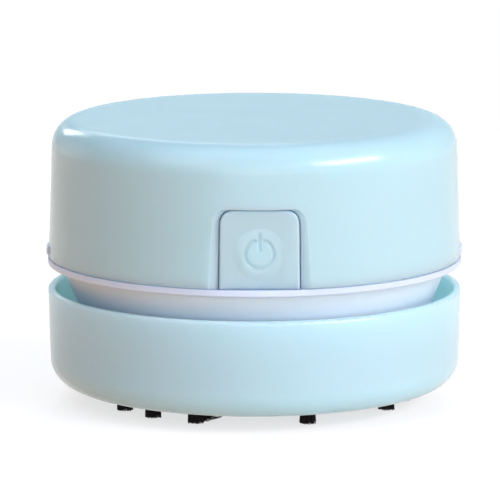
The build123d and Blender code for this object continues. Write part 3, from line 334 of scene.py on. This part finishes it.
DRAWN = {
    "motor_steel": ((0.60, 0.60, 0.58), 0.34, (1.0, 1.0, 0.06)),
    "screw_steel": ((0.62, 0.62, 0.60), 0.30, EVEN),
    "copper": ((0.72, 0.36, 0.20), 0.32, (0.2, 1.0, 1.0)),
    "contact_nickel": ((0.74, 0.71, 0.64), 0.22, (0.3, 1.0, 1.0)),
    "spring_steel": ((0.56, 0.56, 0.56), 0.25, EVEN),
}
for name, (colour, roughness, stretch) in DRAWN.items():
    finishes[name] = drawn_metal(name, colour, roughness, stretch)
print("drawn", sorted(DRAWN))

# %% Sintered and layered metals
SPECKLE_SCALE = 3800.0
PORES_BELOW = (0.36, 0.46)
PORE_DEPTH = 0.00001
WAVE_LENGTH = math.pi / 10.0
LAMINATION_PITCH = 0.0005
WINDING_PITCH = 0.00028


def sintered(name, colour, metallic, roughness):
    """Pressed and sintered powder: speckled, with open pores that are painted dark, painted
    shade in the hollows.
    """
    recipe = finish(name, Metallic=metallic)
    speckle = recipe.noise(recipe.place(), SPECKLE_SCALE, detail=2.0, rough=0.7)
    solid = recipe.ramp(speckle, *PORES_BELOW)
    # Painted shade: the pores are painted at less than half the colour.
    tint = recipe.blend(solid, shade(colour, 0.45), colour)
    rough = roughness + (1.0 - solid) * 0.2
    return recipe.cover(tint, rough, recipe.relief(solid, PORE_DEPTH))


def layered(name, colour, metallic, roughness, pitch):
    """Even layers or turns one pitch apart along Z: laminations or wound wire, painted
    darker in the grooves between them, which is painted shade.
    """
    recipe = finish(name, Metallic=metallic)
    settings = {"wave_type": "BANDS", "bands_direction": "Z", "wave_profile": "SIN"}
    sockets = {"Vector": recipe.place(), "Scale": WAVE_LENGTH / pitch, "Distortion": 0.15}
    turns = recipe.node("ShaderNodeTexWave", settings, sockets, output="Fac")
    # Painted shade: the grooves between layers or turns are painted darker.
    tint = recipe.blend(turns, shade(colour, 0.4), colour)
    rough = roughness + (1.0 - turns) * 0.25
    return recipe.cover(tint, rough, recipe.relief(turns, pitch * 0.3))


finishes["ferrite"] = sintered("ferrite", (0.045, 0.045, 0.05), 0.0, 0.6)
finishes["bronze"] = sintered("bronze", (0.48, 0.32, 0.14), 1.0, 0.42)
finishes["laminated_steel"] = layered(
    "laminated_steel", (0.30, 0.30, 0.32), 1.0, 0.45, LAMINATION_PITCH
)
finishes["enamelled_copper"] = layered(
    "enamelled_copper", (0.50, 0.16, 0.06), 0.7, 0.25, WINDING_PITCH
)
print("metals in all", [name for name in finishes if "steel" in name or "copper" in name])

# %% Felt and rubber
FIBRE_SCALE = 1400.0
FIBRE_STRETCH = 0.12
FIBRE_DEPTH = 0.00012
LUMP_SCALE = 280.0
POWDER_SCALE = 500.0
POWDER_ABOVE = (0.45, 0.8)
POWDER_DEPTH = 0.000008


def fibrous(name, colour, roughness):
    """Needled felt: crossed fibres, fuzzy and unevenly packed."""
    recipe = finish(name, IOR=1.3)
    lengthwise = recipe.stretched((1.0, FIBRE_STRETCH, 1.0))
    crosswise = recipe.stretched((FIBRE_STRETCH, 1.0, 1.0))
    fibres = recipe.noise(lengthwise, FIBRE_SCALE, detail=5.0, rough=0.75).at_least(
        recipe.noise(crosswise, FIBRE_SCALE, detail=5.0, rough=0.75)
    )
    lumps = recipe.noise(recipe.place(), LUMP_SCALE, detail=3.0)
    mass = fibres * 0.7 + lumps * 0.3
    tint = recipe.blend(mass, shade(colour, 0.72), shade(colour, 1.06))
    rough = roughness - 0.05 + lumps * 0.1
    return recipe.cover(tint, rough, recipe.relief(fibres, FIBRE_DEPTH))


def rubbery(name, colour, roughness):
    """Rubber or PVC: soft sheen and a bloom of paler powder."""
    recipe = finish(name, IOR=1.5)
    bloom = recipe.noise(recipe.place(), POWDER_SCALE, detail=4.0, rough=0.65)
    tint = recipe.blend(recipe.ramp(bloom, *POWDER_ABOVE), colour, shade(colour, 1.5))
    rough = roughness - 0.05 + bloom * 0.12
    return recipe.cover(tint, rough, recipe.relief(bloom, POWDER_DEPTH))


finishes["filter_felt"] = fibrous("filter_felt", (0.74, 0.74, 0.70), 0.9)
finishes["seal_rubber"] = rubbery("seal_rubber", (0.016, 0.016, 0.018), 0.5)
finishes["lead_red"] = rubbery("lead_red", (0.42, 0.012, 0.012), 0.35)
finishes["lead_black"] = rubbery("lead_black", (0.012, 0.012, 0.012), 0.35)
print("felt, rubber and leads ready")

# %% Circuit board
TRACK_SCALE = 260.0
TRACK_WIDTH = 0.035
TRACK_EDGE = 0.2
TRACK_DEPTH = 0.00003
WEAVE_SCALE = 2400.0


def board_mask(name):
    """Solder-masked board: tracks show as paler, slightly raised lines."""
    recipe = finish(name, IOR=1.5)
    sockets = {"Vector": recipe.place(), "Scale": TRACK_SCALE, "Mortar Size": TRACK_WIDTH}
    sockets["Mortar Smooth"] = TRACK_EDGE
    tracks = recipe.node("ShaderNodeTexBrick", {}, sockets, output="Fac")
    weave = recipe.noise(recipe.place(), WEAVE_SCALE, detail=2.0)
    green = recipe.blend(weave, (0.012, 0.12, 0.045), (0.018, 0.16, 0.06))
    tint = recipe.blend(tracks, green, (0.05, 0.28, 0.10))
    return recipe.cover(tint, 0.28 + weave * 0.12, recipe.relief(tracks, TRACK_DEPTH))


finishes["board_green"] = board_mask("board_green")
print("finishes so far", len(finishes))

# %% [markdown]
# ## The cells
#
# A cell is a nickel-plated can in a shrink sleeve: dark slate along most of its length, a
# copper-coloured band towards the nub, and bare metal at both ends. The bands are worked
# out along Y from the box of the node, and there is no lettering. Where they end is a
# share of half the cell's length, from its middle.


# %% Cell sleeves
BAND_FROM = 0.42
SLEEVE_TO_NUB = 0.93
SLEEVE_TO_BACK = 0.972
BARE_METAL = (0.68, 0.67, 0.63)
SLEEVE_GRAIN_SCALE = 1500.0
WRINKLE_SCALE = 260.0
WRINKLE_DEPTH = 0.00003


def cell_sleeve(name, node, nub_side):
    """A sleeve with a band near the nub, for the cell that node is."""
    low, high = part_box(node)
    recipe = finish(name)
    half = (high[1] - low[1]) / 2
    towards = (recipe.along("Y") - (low[1] + high[1]) / 2) * nub_side
    band = (towards > half * BAND_FROM).at_most(towards < half * SLEEVE_TO_NUB)
    nub = towards > half * SLEEVE_TO_NUB
    bare = nub.at_least(towards < -half * SLEEVE_TO_BACK)
    grain = recipe.noise(recipe.place(), SLEEVE_GRAIN_SCALE, detail=2.0)
    slate = recipe.blend(grain, (0.020, 0.032, 0.052), (0.028, 0.042, 0.066))
    copper = recipe.blend(grain, (0.50, 0.24, 0.10), (0.58, 0.29, 0.13))
    tint = recipe.blend(bare, recipe.blend(band, slate, copper), BARE_METAL)
    recipe.feed(recipe.surface.inputs["Metallic"], bare.at_least(band * 0.6))
    wrinkle = recipe.noise(recipe.stretched((1.0, 0.15, 1.0)), WRINKLE_SCALE, detail=3.0)
    rough = 0.18 + wrinkle * 0.14
    return recipe.cover(tint, rough, recipe.relief(wrinkle, WRINKLE_DEPTH))


cell_finishes = {
    "battery_cell_left": cell_sleeve("cell_sleeve_left", "battery_cell_left", 1.0),
    "battery_cell_right": cell_sleeve("cell_sleeve_right", "battery_cell_right", -1.0),
}
print("cells", sorted(cell_finishes))

# %% [markdown]
# ## Dress the solids
#
# Every solid keeps its shape and takes the finish of its slot in the record. The cells
# take their own, and the bristles get theirs further down.

# %% Finishes on nodes
dressed = 0
for subpart in frame["record"]["subparts"]:
    name = subpart["node"]
    chosen = cell_finishes.get(name) or finishes.get(subpart["material_slot"])
    if chosen is None:
        continue
    mesh = nodes[name].data
    mesh.materials.clear()
    mesh.materials.append(chosen)
    dressed += 1
print("dressed", dressed, "of", len(nodes), "nodes")

# %% [markdown]
# ## Bristles
#
# Each tuft is a bundle of nylon filaments folded into a blind hole. They leave the hole
# packed and parallel, and spread a little towards the table. A filament is a thin tube
# with a few rings, bent by a random amount, and the whole set is one mesh. The solids of
# the tufts say where they stand. A few filaments of one tuft were bent flat in use.


# %% Pieces in the scene
def smooth_mesh(name, points, faces):
    """A mesh from points and faces, shaded smooth."""
    mesh = bpy.data.meshes.new(name)
    mesh.from_pydata(points, [], faces)
    mesh.polygons.foreach_set("use_smooth", [True] * len(mesh.polygons))
    return mesh


def in_scene(name, data):
    """A new object that holds this mesh, lamp or camera."""
    made = bpy.data.objects.new(name, data)
    bpy.context.scene.collection.objects.link(made)
    return made


print("objects so far", len(bpy.context.scene.collection.all_objects))

# %% Where the tufts stand
TUFT_WIDTH = 0.004


def tuft_centres(node):
    """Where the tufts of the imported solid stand, in order around the dish."""
    clusters = []
    for vertex in nodes[node].data.vertices:
        spot = Vector((vertex.co.x, vertex.co.y, 0.0))
        near = [cluster for cluster in clusters if (cluster[0] - spot).length < TUFT_WIDTH]
        if near:
            near[0].append(spot)
        else:
            clusters.append([spot])
    found = []
    for cluster in clusters:
        across = [spot.x for spot in cluster]
        along = [spot.y for spot in cluster]
        middle_x = (min(across) + max(across)) / 2
        middle_y = (min(along) + max(along)) / 2
        found.append(Vector((middle_x, middle_y, 0.0)))
    return sorted(found, key=lambda spot: math.atan2(spot.x, -spot.y))


centres = tuft_centres("bristle_tufts")
print("tufts", [(round(spot.x, 4), round(spot.y, 4)) for spot in centres])

# %% One filament
RINGS = 6
SIDES = 5
TIP_TAPER = 0.25
THINNEST, THICKEST = 0.000085, 0.00011


def filament(root, tip, radius, bow):
    """Rings of points along a bent filament, and its faces counted from 0."""
    points = []
    for ring in range(RINGS):
        share = ring / (RINGS - 1)
        middle = root.lerp(tip, share) + bow * (share * (1.0 - share) * 4.0)
        thick = radius * (1.0 - TIP_TAPER * share)
        for side in range(SIDES):
            turn = 2.0 * math.pi * side / SIDES
            out = Vector((math.cos(turn), math.sin(turn), 0.0))
            points.append(middle + out * thick)
    faces = []
    for ring in range(RINGS - 1):
        for side in range(SIDES):
            a = ring * SIDES + side
            b = ring * SIDES + (side + 1) % SIDES
            faces.append((a, a + SIDES, b + SIDES, b))
    faces.append(tuple(range(SIDES)))
    faces.append(tuple(reversed(range((RINGS - 1) * SIDES, RINGS * SIDES))))
    return points, faces


print("points on a filament", RINGS * SIDES)

# %% Straight tufts
FILAMENTS = 150
HOLE_RADIUS = 0.00144
ROOT_Z = 0.0052
TIP_Z = 0.00004
TIP_SPREAD = 1.13
LEAN = 0.00009
TIP_UNEVEN = 0.00012
BOW = 0.00006
TURN_UNEVEN = 0.2
GOLDEN_TURN = math.pi * (3.0 - math.sqrt(5.0))


def tuft_filaments(centre, chance):
    """The filaments of one tuft: packed at the root, spread at the tip."""
    made = []
    for n in range(FILAMENTS):
        reach = HOLE_RADIUS * math.sqrt((n + 0.5) / FILAMENTS)
        turn = n * GOLDEN_TURN + chance.uniform(-TURN_UNEVEN, TURN_UNEVEN)
        out = Vector((math.cos(turn), math.sin(turn), 0.0))
        root = centre + out * reach
        root.z = ROOT_Z
        lean = Vector((chance.gauss(0, 1), chance.gauss(0, 1), 0.0)) * LEAN
        tip = centre + out * reach * TIP_SPREAD + lean
        tip.z = TIP_Z + abs(chance.gauss(0, TIP_UNEVEN))
        bow = Vector((chance.uniform(-1, 1), chance.uniform(-1, 1), 0.0)) * BOW
        made.append((root, tip, chance.uniform(THINNEST, THICKEST), bow))
    return made


chance = random.Random(20)
strands = []
for centre in centres:
    strands.extend(tuft_filaments(centre, chance))
print("straight filaments", len(strands))

# %% The worn tuft
BENT_FILAMENTS = 90
BENT_ROOT_NEAR, BENT_ROOT_FAR = 0.3, 0.9
BENT_ROOT_ASIDE = 0.8
BENT_ROOT_Z = 0.0031
BENT_REACH, BENT_SPAN = 0.0022, 0.0032
BENT_ASIDE = 0.0003
BENT_TIP_LOW, BENT_TIP_HIGH = 0.0003, 0.0013
BENT_TIP_UNEVEN = 0.00006
BOW_BACK = -0.0004
BOW_DOWN = Vector((0.0, 0.0, -0.0007))
WORN_TURN = math.radians(-23)


def bent_filaments(centre, sideways, chance):
    """Filaments at one side of a tuft that lie over, almost flat under the dish."""
    made = []
    for n in range(BENT_FILAMENTS):
        share = (n + 0.5) / BENT_FILAMENTS
        inside = HOLE_RADIUS * chance.uniform(BENT_ROOT_NEAR, BENT_ROOT_FAR)
        root = centre + sideways * inside
        root.y += chance.uniform(-BENT_ROOT_ASIDE, BENT_ROOT_ASIDE) * HOLE_RADIUS
        root.z = BENT_ROOT_Z
        tip = centre + sideways * (BENT_REACH + BENT_SPAN * share)
        tip.y += chance.gauss(0, BENT_ASIDE)
        rise = (BENT_TIP_HIGH - BENT_TIP_LOW) * share
        tip.z = BENT_TIP_LOW + rise + chance.gauss(0, BENT_TIP_UNEVEN)
        bow = sideways * BOW_BACK + BOW_DOWN
        made.append((root, tip, chance.uniform(THINNEST, THICKEST), bow))
    return made


worn = min(centres, key=lambda spot: abs(math.atan2(spot.x, -spot.y) - WORN_TURN))
strands.extend(bent_filaments(worn, Vector((1.0, 0.0, 0.0)), chance))
print("filaments with the bent ones", len(strands))

# %% Nylon
NYLON_SCALE = 5200.0


def bristle_nylon(name):
    """Near-black nylon with a silky edge, a little browner on some filaments."""
    recipe = finish(name, IOR=1.53, Specular_IOR_Level=0.2)
    strand = recipe.noise(recipe.stretched((1.0, 1.0, 0.05)), NYLON_SCALE, detail=1.0)
    tint = recipe.blend(strand, (0.003, 0.0015, 0.002), (0.011, 0.005, 0.006))
    recipe.feed(recipe.surface.inputs["Base Color"], tint)
    recipe.feed(recipe.surface.inputs["Roughness"], 0.52 + strand * 0.15)
    return recipe.material


finishes["bristle_black"] = bristle_nylon("bristle_black")
print("nylon", finishes["bristle_black"].name)


# %% All tufts in one mesh
def as_mesh(name, strands):
    """One object from many filaments."""
    points, faces = [], []
    for strand in strands:
        ring_points, ring_faces = filament(*strand)
        start = len(points)
        points.extend(ring_points)
        faces.extend(tuple(start + index for index in face) for face in ring_faces)
    return in_scene(name, smooth_mesh(name, points, faces))


bristles = as_mesh("bristle_filaments", strands)
bristles.data.materials.append(finishes["bristle_black"])
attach(bristles, "dish")
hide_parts("bristle_tufts")
print("bristle faces", len(bristles.data.polygons))

# %% [markdown]
# ## Springs
#
# Real compression springs have closed ends: the last turn lies flat against its seat.
# Each spring is a tube along a helix whose pitch eases to nothing at both ends, as long as
# the solid it stands for.


# %% Closed-end coils
DEAD_TURNS = 0.75
STEPS_PER_TURN = 28
WIRE_SIDES = 10


def coil_points(radius, wire, turns, length):
    """Points of a helix along +Z with a closed turn at each end."""
    points = []
    live_turns = turns - 2 * DEAD_TURNS
    for n in range(int(turns * STEPS_PER_TURN) + 1):
        turn = n / STEPS_PER_TURN
        live = min(max(turn - DEAD_TURNS, 0.0), live_turns) / live_turns
        first_end = min(turn, DEAD_TURNS) / DEAD_TURNS
        last_end = min(max(turn - turns + DEAD_TURNS, 0.0), DEAD_TURNS) / DEAD_TURNS
        ends = (first_end + last_end) / 2
        rise = wire / 2 + ends * wire + live * (length - 2 * wire)
        angle = turn * 2 * math.pi
        points.append(Vector((radius * math.cos(angle), radius * math.sin(angle), rise)))
    return points


def wire_mesh(name, points, radius):
    """A closed tube of even thickness along points."""
    verts, faces = [], []
    for n, point in enumerate(points):
        before = points[max(n - 1, 0)]
        after = points[min(n + 1, len(points) - 1)]
        along = (after - before).normalized()
        out = Vector((point.x, point.y, 0.0)).normalized()
        up = along.cross(out).normalized()
        for side in range(WIRE_SIDES):
            turn = 2 * math.pi * side / WIRE_SIDES
            verts.append(point + (out * math.cos(turn) + up * math.sin(turn)) * radius)
    for n in range(len(points) - 1):
        for side in range(WIRE_SIDES):
            a = n * WIRE_SIDES + side
            b = n * WIRE_SIDES + (side + 1) % WIRE_SIDES
            faces.append((a, b, b + WIRE_SIDES, a + WIRE_SIDES))
    faces.append(tuple(reversed(range(WIRE_SIDES))))
    faces.append(tuple(range((len(points) - 1) * WIRE_SIDES, len(points) * WIRE_SIDES)))
    return smooth_mesh(name, verts, faces)


print("points on a turn", STEPS_PER_TURN)

# %% Springs on their seats
SPRING_WIRE = 0.00032
BUTTON_COIL = {"travel": 0.0015, "turns": 6.0}
TAB_COIL = {"travel": 0.001, "turns": 7.0}


def spring_on(node, body, axis, coil):
    """A coil in the place of node, along axis and as long as the solid; its travel is not
    used.
    """
    travel, turns = coil["travel"], coil["turns"]
    low, high = (Vector(corner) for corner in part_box(node))
    size = high - low
    index = max(range(3), key=lambda n: abs(axis[n]))
    length = size[index]
    radius = (size[(index + 1) % 3] - SPRING_WIRE) / 2
    points = coil_points(radius, SPRING_WIRE, turns, length)
    mesh = wire_mesh(f"{node}_coil", points, SPRING_WIRE / 2)
    piece = in_scene(f"{node}_coil", mesh)
    direction = Vector(axis)
    seat = (low + high) / 2 - direction * length / 2
    turned = direction.to_track_quat("Z", "X").to_matrix().to_4x4()
    turned.translation = seat
    mesh.transform(turned)
    mesh.materials.append(finishes["spring_steel"])
    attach(piece, body)
    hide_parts(node)
    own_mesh(piece)
    return piece


springs = [
    spring_on("button_spring", "chassis", (0, -1, 0), BUTTON_COIL),
    spring_on("tab_spring_left", "chassis", (-1, 0, 0), TAB_COIL),
    spring_on("tab_spring_right", "chassis", (1, 0, 0), TAB_COIL),
]
print("springs", [spring.name for spring in springs])

# %% [markdown]
# ## Filter felt
#
# The filter is a punched disc of needled felt. It sags a little between the spokes that
# it lies on, and its edge is fuzzy and not quite round.


# %% Felt disc
FELT_RINGS = 40
FELT_SIDES = 144
FUZZ = 0.00004
EDGE_FROM = 0.97
EDGE_DROP = 0.00018
EDGE_WAVES = 17
EDGE_WAVE_DEPTH = 0.004
SPOKES = 6
SAG_DEPTH = 0.00012


def felt_points(low, high):
    """Points of the lower face and then the upper one, ring by ring."""
    radius = (high.x - low.x) / 2
    chance = np.random.default_rng(7)
    bumps = chance.normal(0, 1, (2, FELT_RINGS + 1, FELT_SIDES))
    points = []
    for layer, (base, inwards) in enumerate(((low.z, 1.0), (high.z, -1.0))):
        for ring in range(1, FELT_RINGS + 1):
            share = ring / FELT_RINGS
            edge = max(0.0, share - EDGE_FROM) / (1.0 - EDGE_FROM)
            for side in range(FELT_SIDES):
                turn = 2 * math.pi * side / FELT_SIDES
                wave = EDGE_WAVE_DEPTH * abs(math.sin(EDGE_WAVES * turn)) * edge
                reach = radius * share * (1.0 - wave)
                dent = FUZZ * abs(bumps[layer, ring, side]) + EDGE_DROP * edge
                between_spokes = 0.5 - 0.5 * math.cos(SPOKES * turn)
                sag = SAG_DEPTH * between_spokes * share * (1 - share) * 4 if layer else 0.0
                height = base + inwards * dent - sag
                points.append((reach * math.cos(turn), reach * math.sin(turn), height))
    return points


def felt_faces():
    """Rings of four-sided faces, a face in each middle, and the wall between the two."""
    faces = []
    for layer in range(2):
        start = layer * FELT_RINGS * FELT_SIDES
        for ring in range(FELT_RINGS - 1):
            for side in range(FELT_SIDES):
                a = start + ring * FELT_SIDES + side
                b = start + ring * FELT_SIDES + (side + 1) % FELT_SIDES
                quad = (a, b, b + FELT_SIDES, a + FELT_SIDES)
                faces.append(quad if layer == 0 else tuple(reversed(quad)))
        middle = tuple(range(start, start + FELT_SIDES))
        faces.append(tuple(reversed(middle)) if layer == 0 else middle)
    lower = (FELT_RINGS - 1) * FELT_SIDES
    painted_lip_share = (2 * FELT_RINGS - 1) * FELT_SIDES
    for side in range(FELT_SIDES):
        after = (side + 1) % FELT_SIDES
        faces.append((lower + side, lower + after, painted_lip_share + after, painted_lip_share + side))
    return faces


felt_low, felt_high = (Vector(corner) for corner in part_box("filter_disc"))
felt_mesh = smooth_mesh("filter_felt_disc", felt_points(felt_low, felt_high), felt_faces())
felt_mesh.validate()
felt_mesh.materials.append(finishes["filter_felt"])
print("felt faces", len(felt_mesh.polygons))

# %% Felt in its place
felt = in_scene("filter_felt_disc", felt_mesh)
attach(felt, "chassis")
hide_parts("filter_disc")

# %% [markdown]
# ## Table and sky
#
# The camera, gloss and glass see a plain pale table under a pale blue sky. A faint glow
# of the table's own is added there, which brings it close to white and still keeps the
# shadow under the sweeper; farther out the table fades to an even white. Every other ray
# meets a slightly warm table, browner on the left, under a dim sky, so the underside of
# the sweeper picks up a warm bounce.


# %% Table
def seen_directly(recipe):
    """1 for rays from the camera and for those that gloss or glass sends on."""
    path = "ShaderNodeLightPath"
    camera = recipe.node(path, output="Is Camera Ray")
    glossy = recipe.node(path, output="Is Glossy Ray")
    through = recipe.node(path, output="Is Transmission Ray")
    return camera.at_least(glossy).at_least(through)


def emptied(owner):
    """A Recipe for the node tree of a new material or sky, with no nodes in it yet."""
    owner.use_nodes = True
    owner.node_tree.nodes.clear()
    return Recipe(owner.node_tree)


WHITE = (1, 1, 1)
TABLE_HALF = 3
TABLE_PALE = (0.36, 0.36, 0.36)
TABLE_LIFT = 0.69
TABLE_FADE = (0.12, 0.4)
TABLE_WARM = (0.82, 0.67, 0.51)
TABLE_BROWN = (0.84, 0.46, 0.22)
BROWN_EDGE = (0.015, -0.045)

corners = [(-1, -1), (1, -1), (1, 1), (-1, 1)]
table_points = [(x * TABLE_HALF, y * TABLE_HALF, 0) for x, y in corners]
table_mesh = bpy.data.meshes.new("table")
table_mesh.from_pydata(table_points, [], [(0, 1, 2, 3)])
table_material = bpy.data.materials.new("table_pale")
recipe = emptied(table_material)

pale = recipe.node("ShaderNodeBsdfDiffuse", {}, {"Color": TABLE_PALE}, output="BSDF")
lift = recipe.node("ShaderNodeEmission", {}, {"Color": WHITE, "Strength": TABLE_LIFT})
lifted = recipe.node("ShaderNodeAddShader", {}, {0: pale, 1: lift})
blank = recipe.node("ShaderNodeEmission", {}, {"Color": WHITE, "Strength": 1.0})
settings, sockets = {"operation": "LENGTH"}, {0: recipe.place()}
away = recipe.node("ShaderNodeVectorMath", settings, sockets, output="Value")
far = recipe.ramp(away, *TABLE_FADE)
plain = recipe.node("ShaderNodeMixShader", {}, {0: far, 1: lifted, 2: blank})

warm = recipe.node("ShaderNodeBsdfDiffuse", {}, {"Color": TABLE_WARM}, output="BSDF")
brown = recipe.node("ShaderNodeBsdfDiffuse", {}, {"Color": TABLE_BROWN}, output="BSDF")
left = recipe.ramp(recipe.along("X"), *BROWN_EDGE)
bounce = recipe.node("ShaderNodeMixShader", {}, {0: left, 1: warm, 2: brown})
shown = recipe.node(
    "ShaderNodeMixShader", {}, {0: seen_directly(recipe), 1: bounce, 2: plain}
)
recipe.node("ShaderNodeOutputMaterial", {}, {"Surface": shown})
table_mesh.materials.append(table_material)
table = in_scene("table", table_mesh)
print("table", 2 * TABLE_HALF, "metres wide")

# %% Sky
SKY_GREY = 0.2
SKY_TINT = (1.0, 0.90, 0.95)
SKY_PALE = (0.64, 0.84, 0.93)

world = bpy.data.worlds.new("sky")
bpy.context.scene.world = world
recipe = emptied(world)
pale = recipe.node("ShaderNodeBackground", {}, {"Color": SKY_PALE, "Strength": 1.0})
dim = recipe.node("ShaderNodeBackground", {}, {"Color": SKY_TINT, "Strength": SKY_GREY})
sky = recipe.node("ShaderNodeMixShader", {}, {0: seen_directly(recipe), 1: dim, 2: pale})
recipe.node("ShaderNodeOutputWorld", {}, {"Surface": sky})
print("sky", world.name)

# %% [markdown]
# ## Lamps
#
# A wide softbox on the right is the key, and weak, cool ones go round from the front to
# the right. Large soft ones above and high on the left fill, and a small warm one stands
# low on the left. A narrow window behind on the left draws the bright spot on the cap's
# edge, and a strip beside it the line along the back of the top. Two behind the sweeper
# shine through its thin walls. Those two, the low one and the fills to the right of the
# front don't show in gloss, or the flat top would mirror them in the views from behind.


# %% Soft lamps
LIT_CENTRE = Vector((0.0, 0.0, 0.03))


def softbox(name, azimuth, elevation, distance, size, power, colour=WHITE, gloss=True):
    """An area lamp around the sweeper, facing it. Azimuth 0 is the front, 90 the right."""
    lamp = bpy.data.lights.new(name, "AREA")
    lamp.shape = "RECTANGLE"
    lamp.size, lamp.size_y = size
    lamp.energy = power
    lamp.color = colour
    turn, rise = math.radians(azimuth), math.radians(elevation)
    flat = math.cos(rise)
    away = Vector((flat * math.sin(turn), -flat * math.cos(turn), math.sin(rise)))
    holder = in_scene(name, lamp)
    holder.location = LIT_CENTRE + away * distance
    holder.rotation_euler = away.to_track_quat("Z", "Y").to_euler()
    holder.visible_glossy = gloss
    return holder


NEAR = 0.75
WIDE = (0.42, 0.3)
SQUARE = (0.4, 0.4)
SMALL = (0.2, 0.2)
KEY_LIGHT = (1.0, 0.89, 0.91)
DAYLIGHT = (0.83, 0.91, 1.0)
CEILING_LIGHT = (0.64, 0.83, 1.0)
LEFT_LIGHT = (0.97, 0.82, 0.86)
WARM_LIGHT = (1.0, 0.62, 0.42)
lamps = [
    softbox("key_right", 58, 31, 2.0, (1.33, 0.53), 25.0, KEY_LIGHT),
    softbox("front", -5, 9, NEAR, WIDE, 0.66, DAYLIGHT),
    softbox("front_right", 25, 9, NEAR, WIDE, 2.6, DAYLIGHT, gloss=False),
    softbox("right", 55, 9, NEAR, WIDE, 0.8, KEY_LIGHT, gloss=False),
    softbox("high_left", -45, 40, NEAR, SQUARE, 0.9, LEFT_LIGHT),
    softbox("left_low", -70, 4, NEAR, (0.3, 0.1), 0.06, WARM_LIGHT, gloss=False),
    softbox("top_left", -75, 62, NEAR, SQUARE, 0.6, CEILING_LIGHT),
    softbox("above", 0, 88, NEAR, (0.7, 0.7), 1.4, CEILING_LIGHT),
    softbox("left_edge", -125, 9, NEAR, WIDE, 0.2),
    softbox("window", -155, 21, 0.8, (0.12, 0.2), 0.34),
    softbox("strip", -172, 27, 0.8, (0.3, 0.08), 0.15),
    softbox("behind_left", -176, 12, NEAR, SMALL, 1.8, gloss=False),
    softbox("behind_right", 176, 12, NEAR, SMALL, 2.4, gloss=False),
]
print("lamps", [lamp.name for lamp in lamps])

# %% [markdown]
# ## Camera
#
# A long lens a metre away, about ten degrees above the table and a little to the left of
# the front, with a small shift so that the sweeper sits where it should in the frame.

# %% Long lens
LENS_MM = 354.96
SENSOR_MM = 36.0
SHIFT = (-0.00902, 0.0188)
CLIP_START = 0.05
DISTANCE = 1.0
LOOK_AT = Vector((0.0, 0.0, 0.028))
ABOVE = math.radians(9.91)
TO_THE_LEFT = math.radians(1.4)

view = bpy.data.cameras.new("long_lens")
view.lens = LENS_MM
view.sensor_width = SENSOR_MM
view.shift_x, view.shift_y = SHIFT
view.clip_start = CLIP_START
camera = in_scene("camera", view)
flat = math.cos(ABOVE)
offset = Vector(
    (-flat * math.sin(TO_THE_LEFT), -flat * math.cos(TO_THE_LEFT), math.sin(ABOVE))
)
camera.location = LOOK_AT + offset * DISTANCE
camera.rotation_euler = (-offset).to_track_quat("-Z", "Y").to_euler()
bpy.context.scene.camera = camera
bpy.context.scene.view_settings.view_transform = "Standard"
print("camera at", [round(value, 4) for value in camera.location])
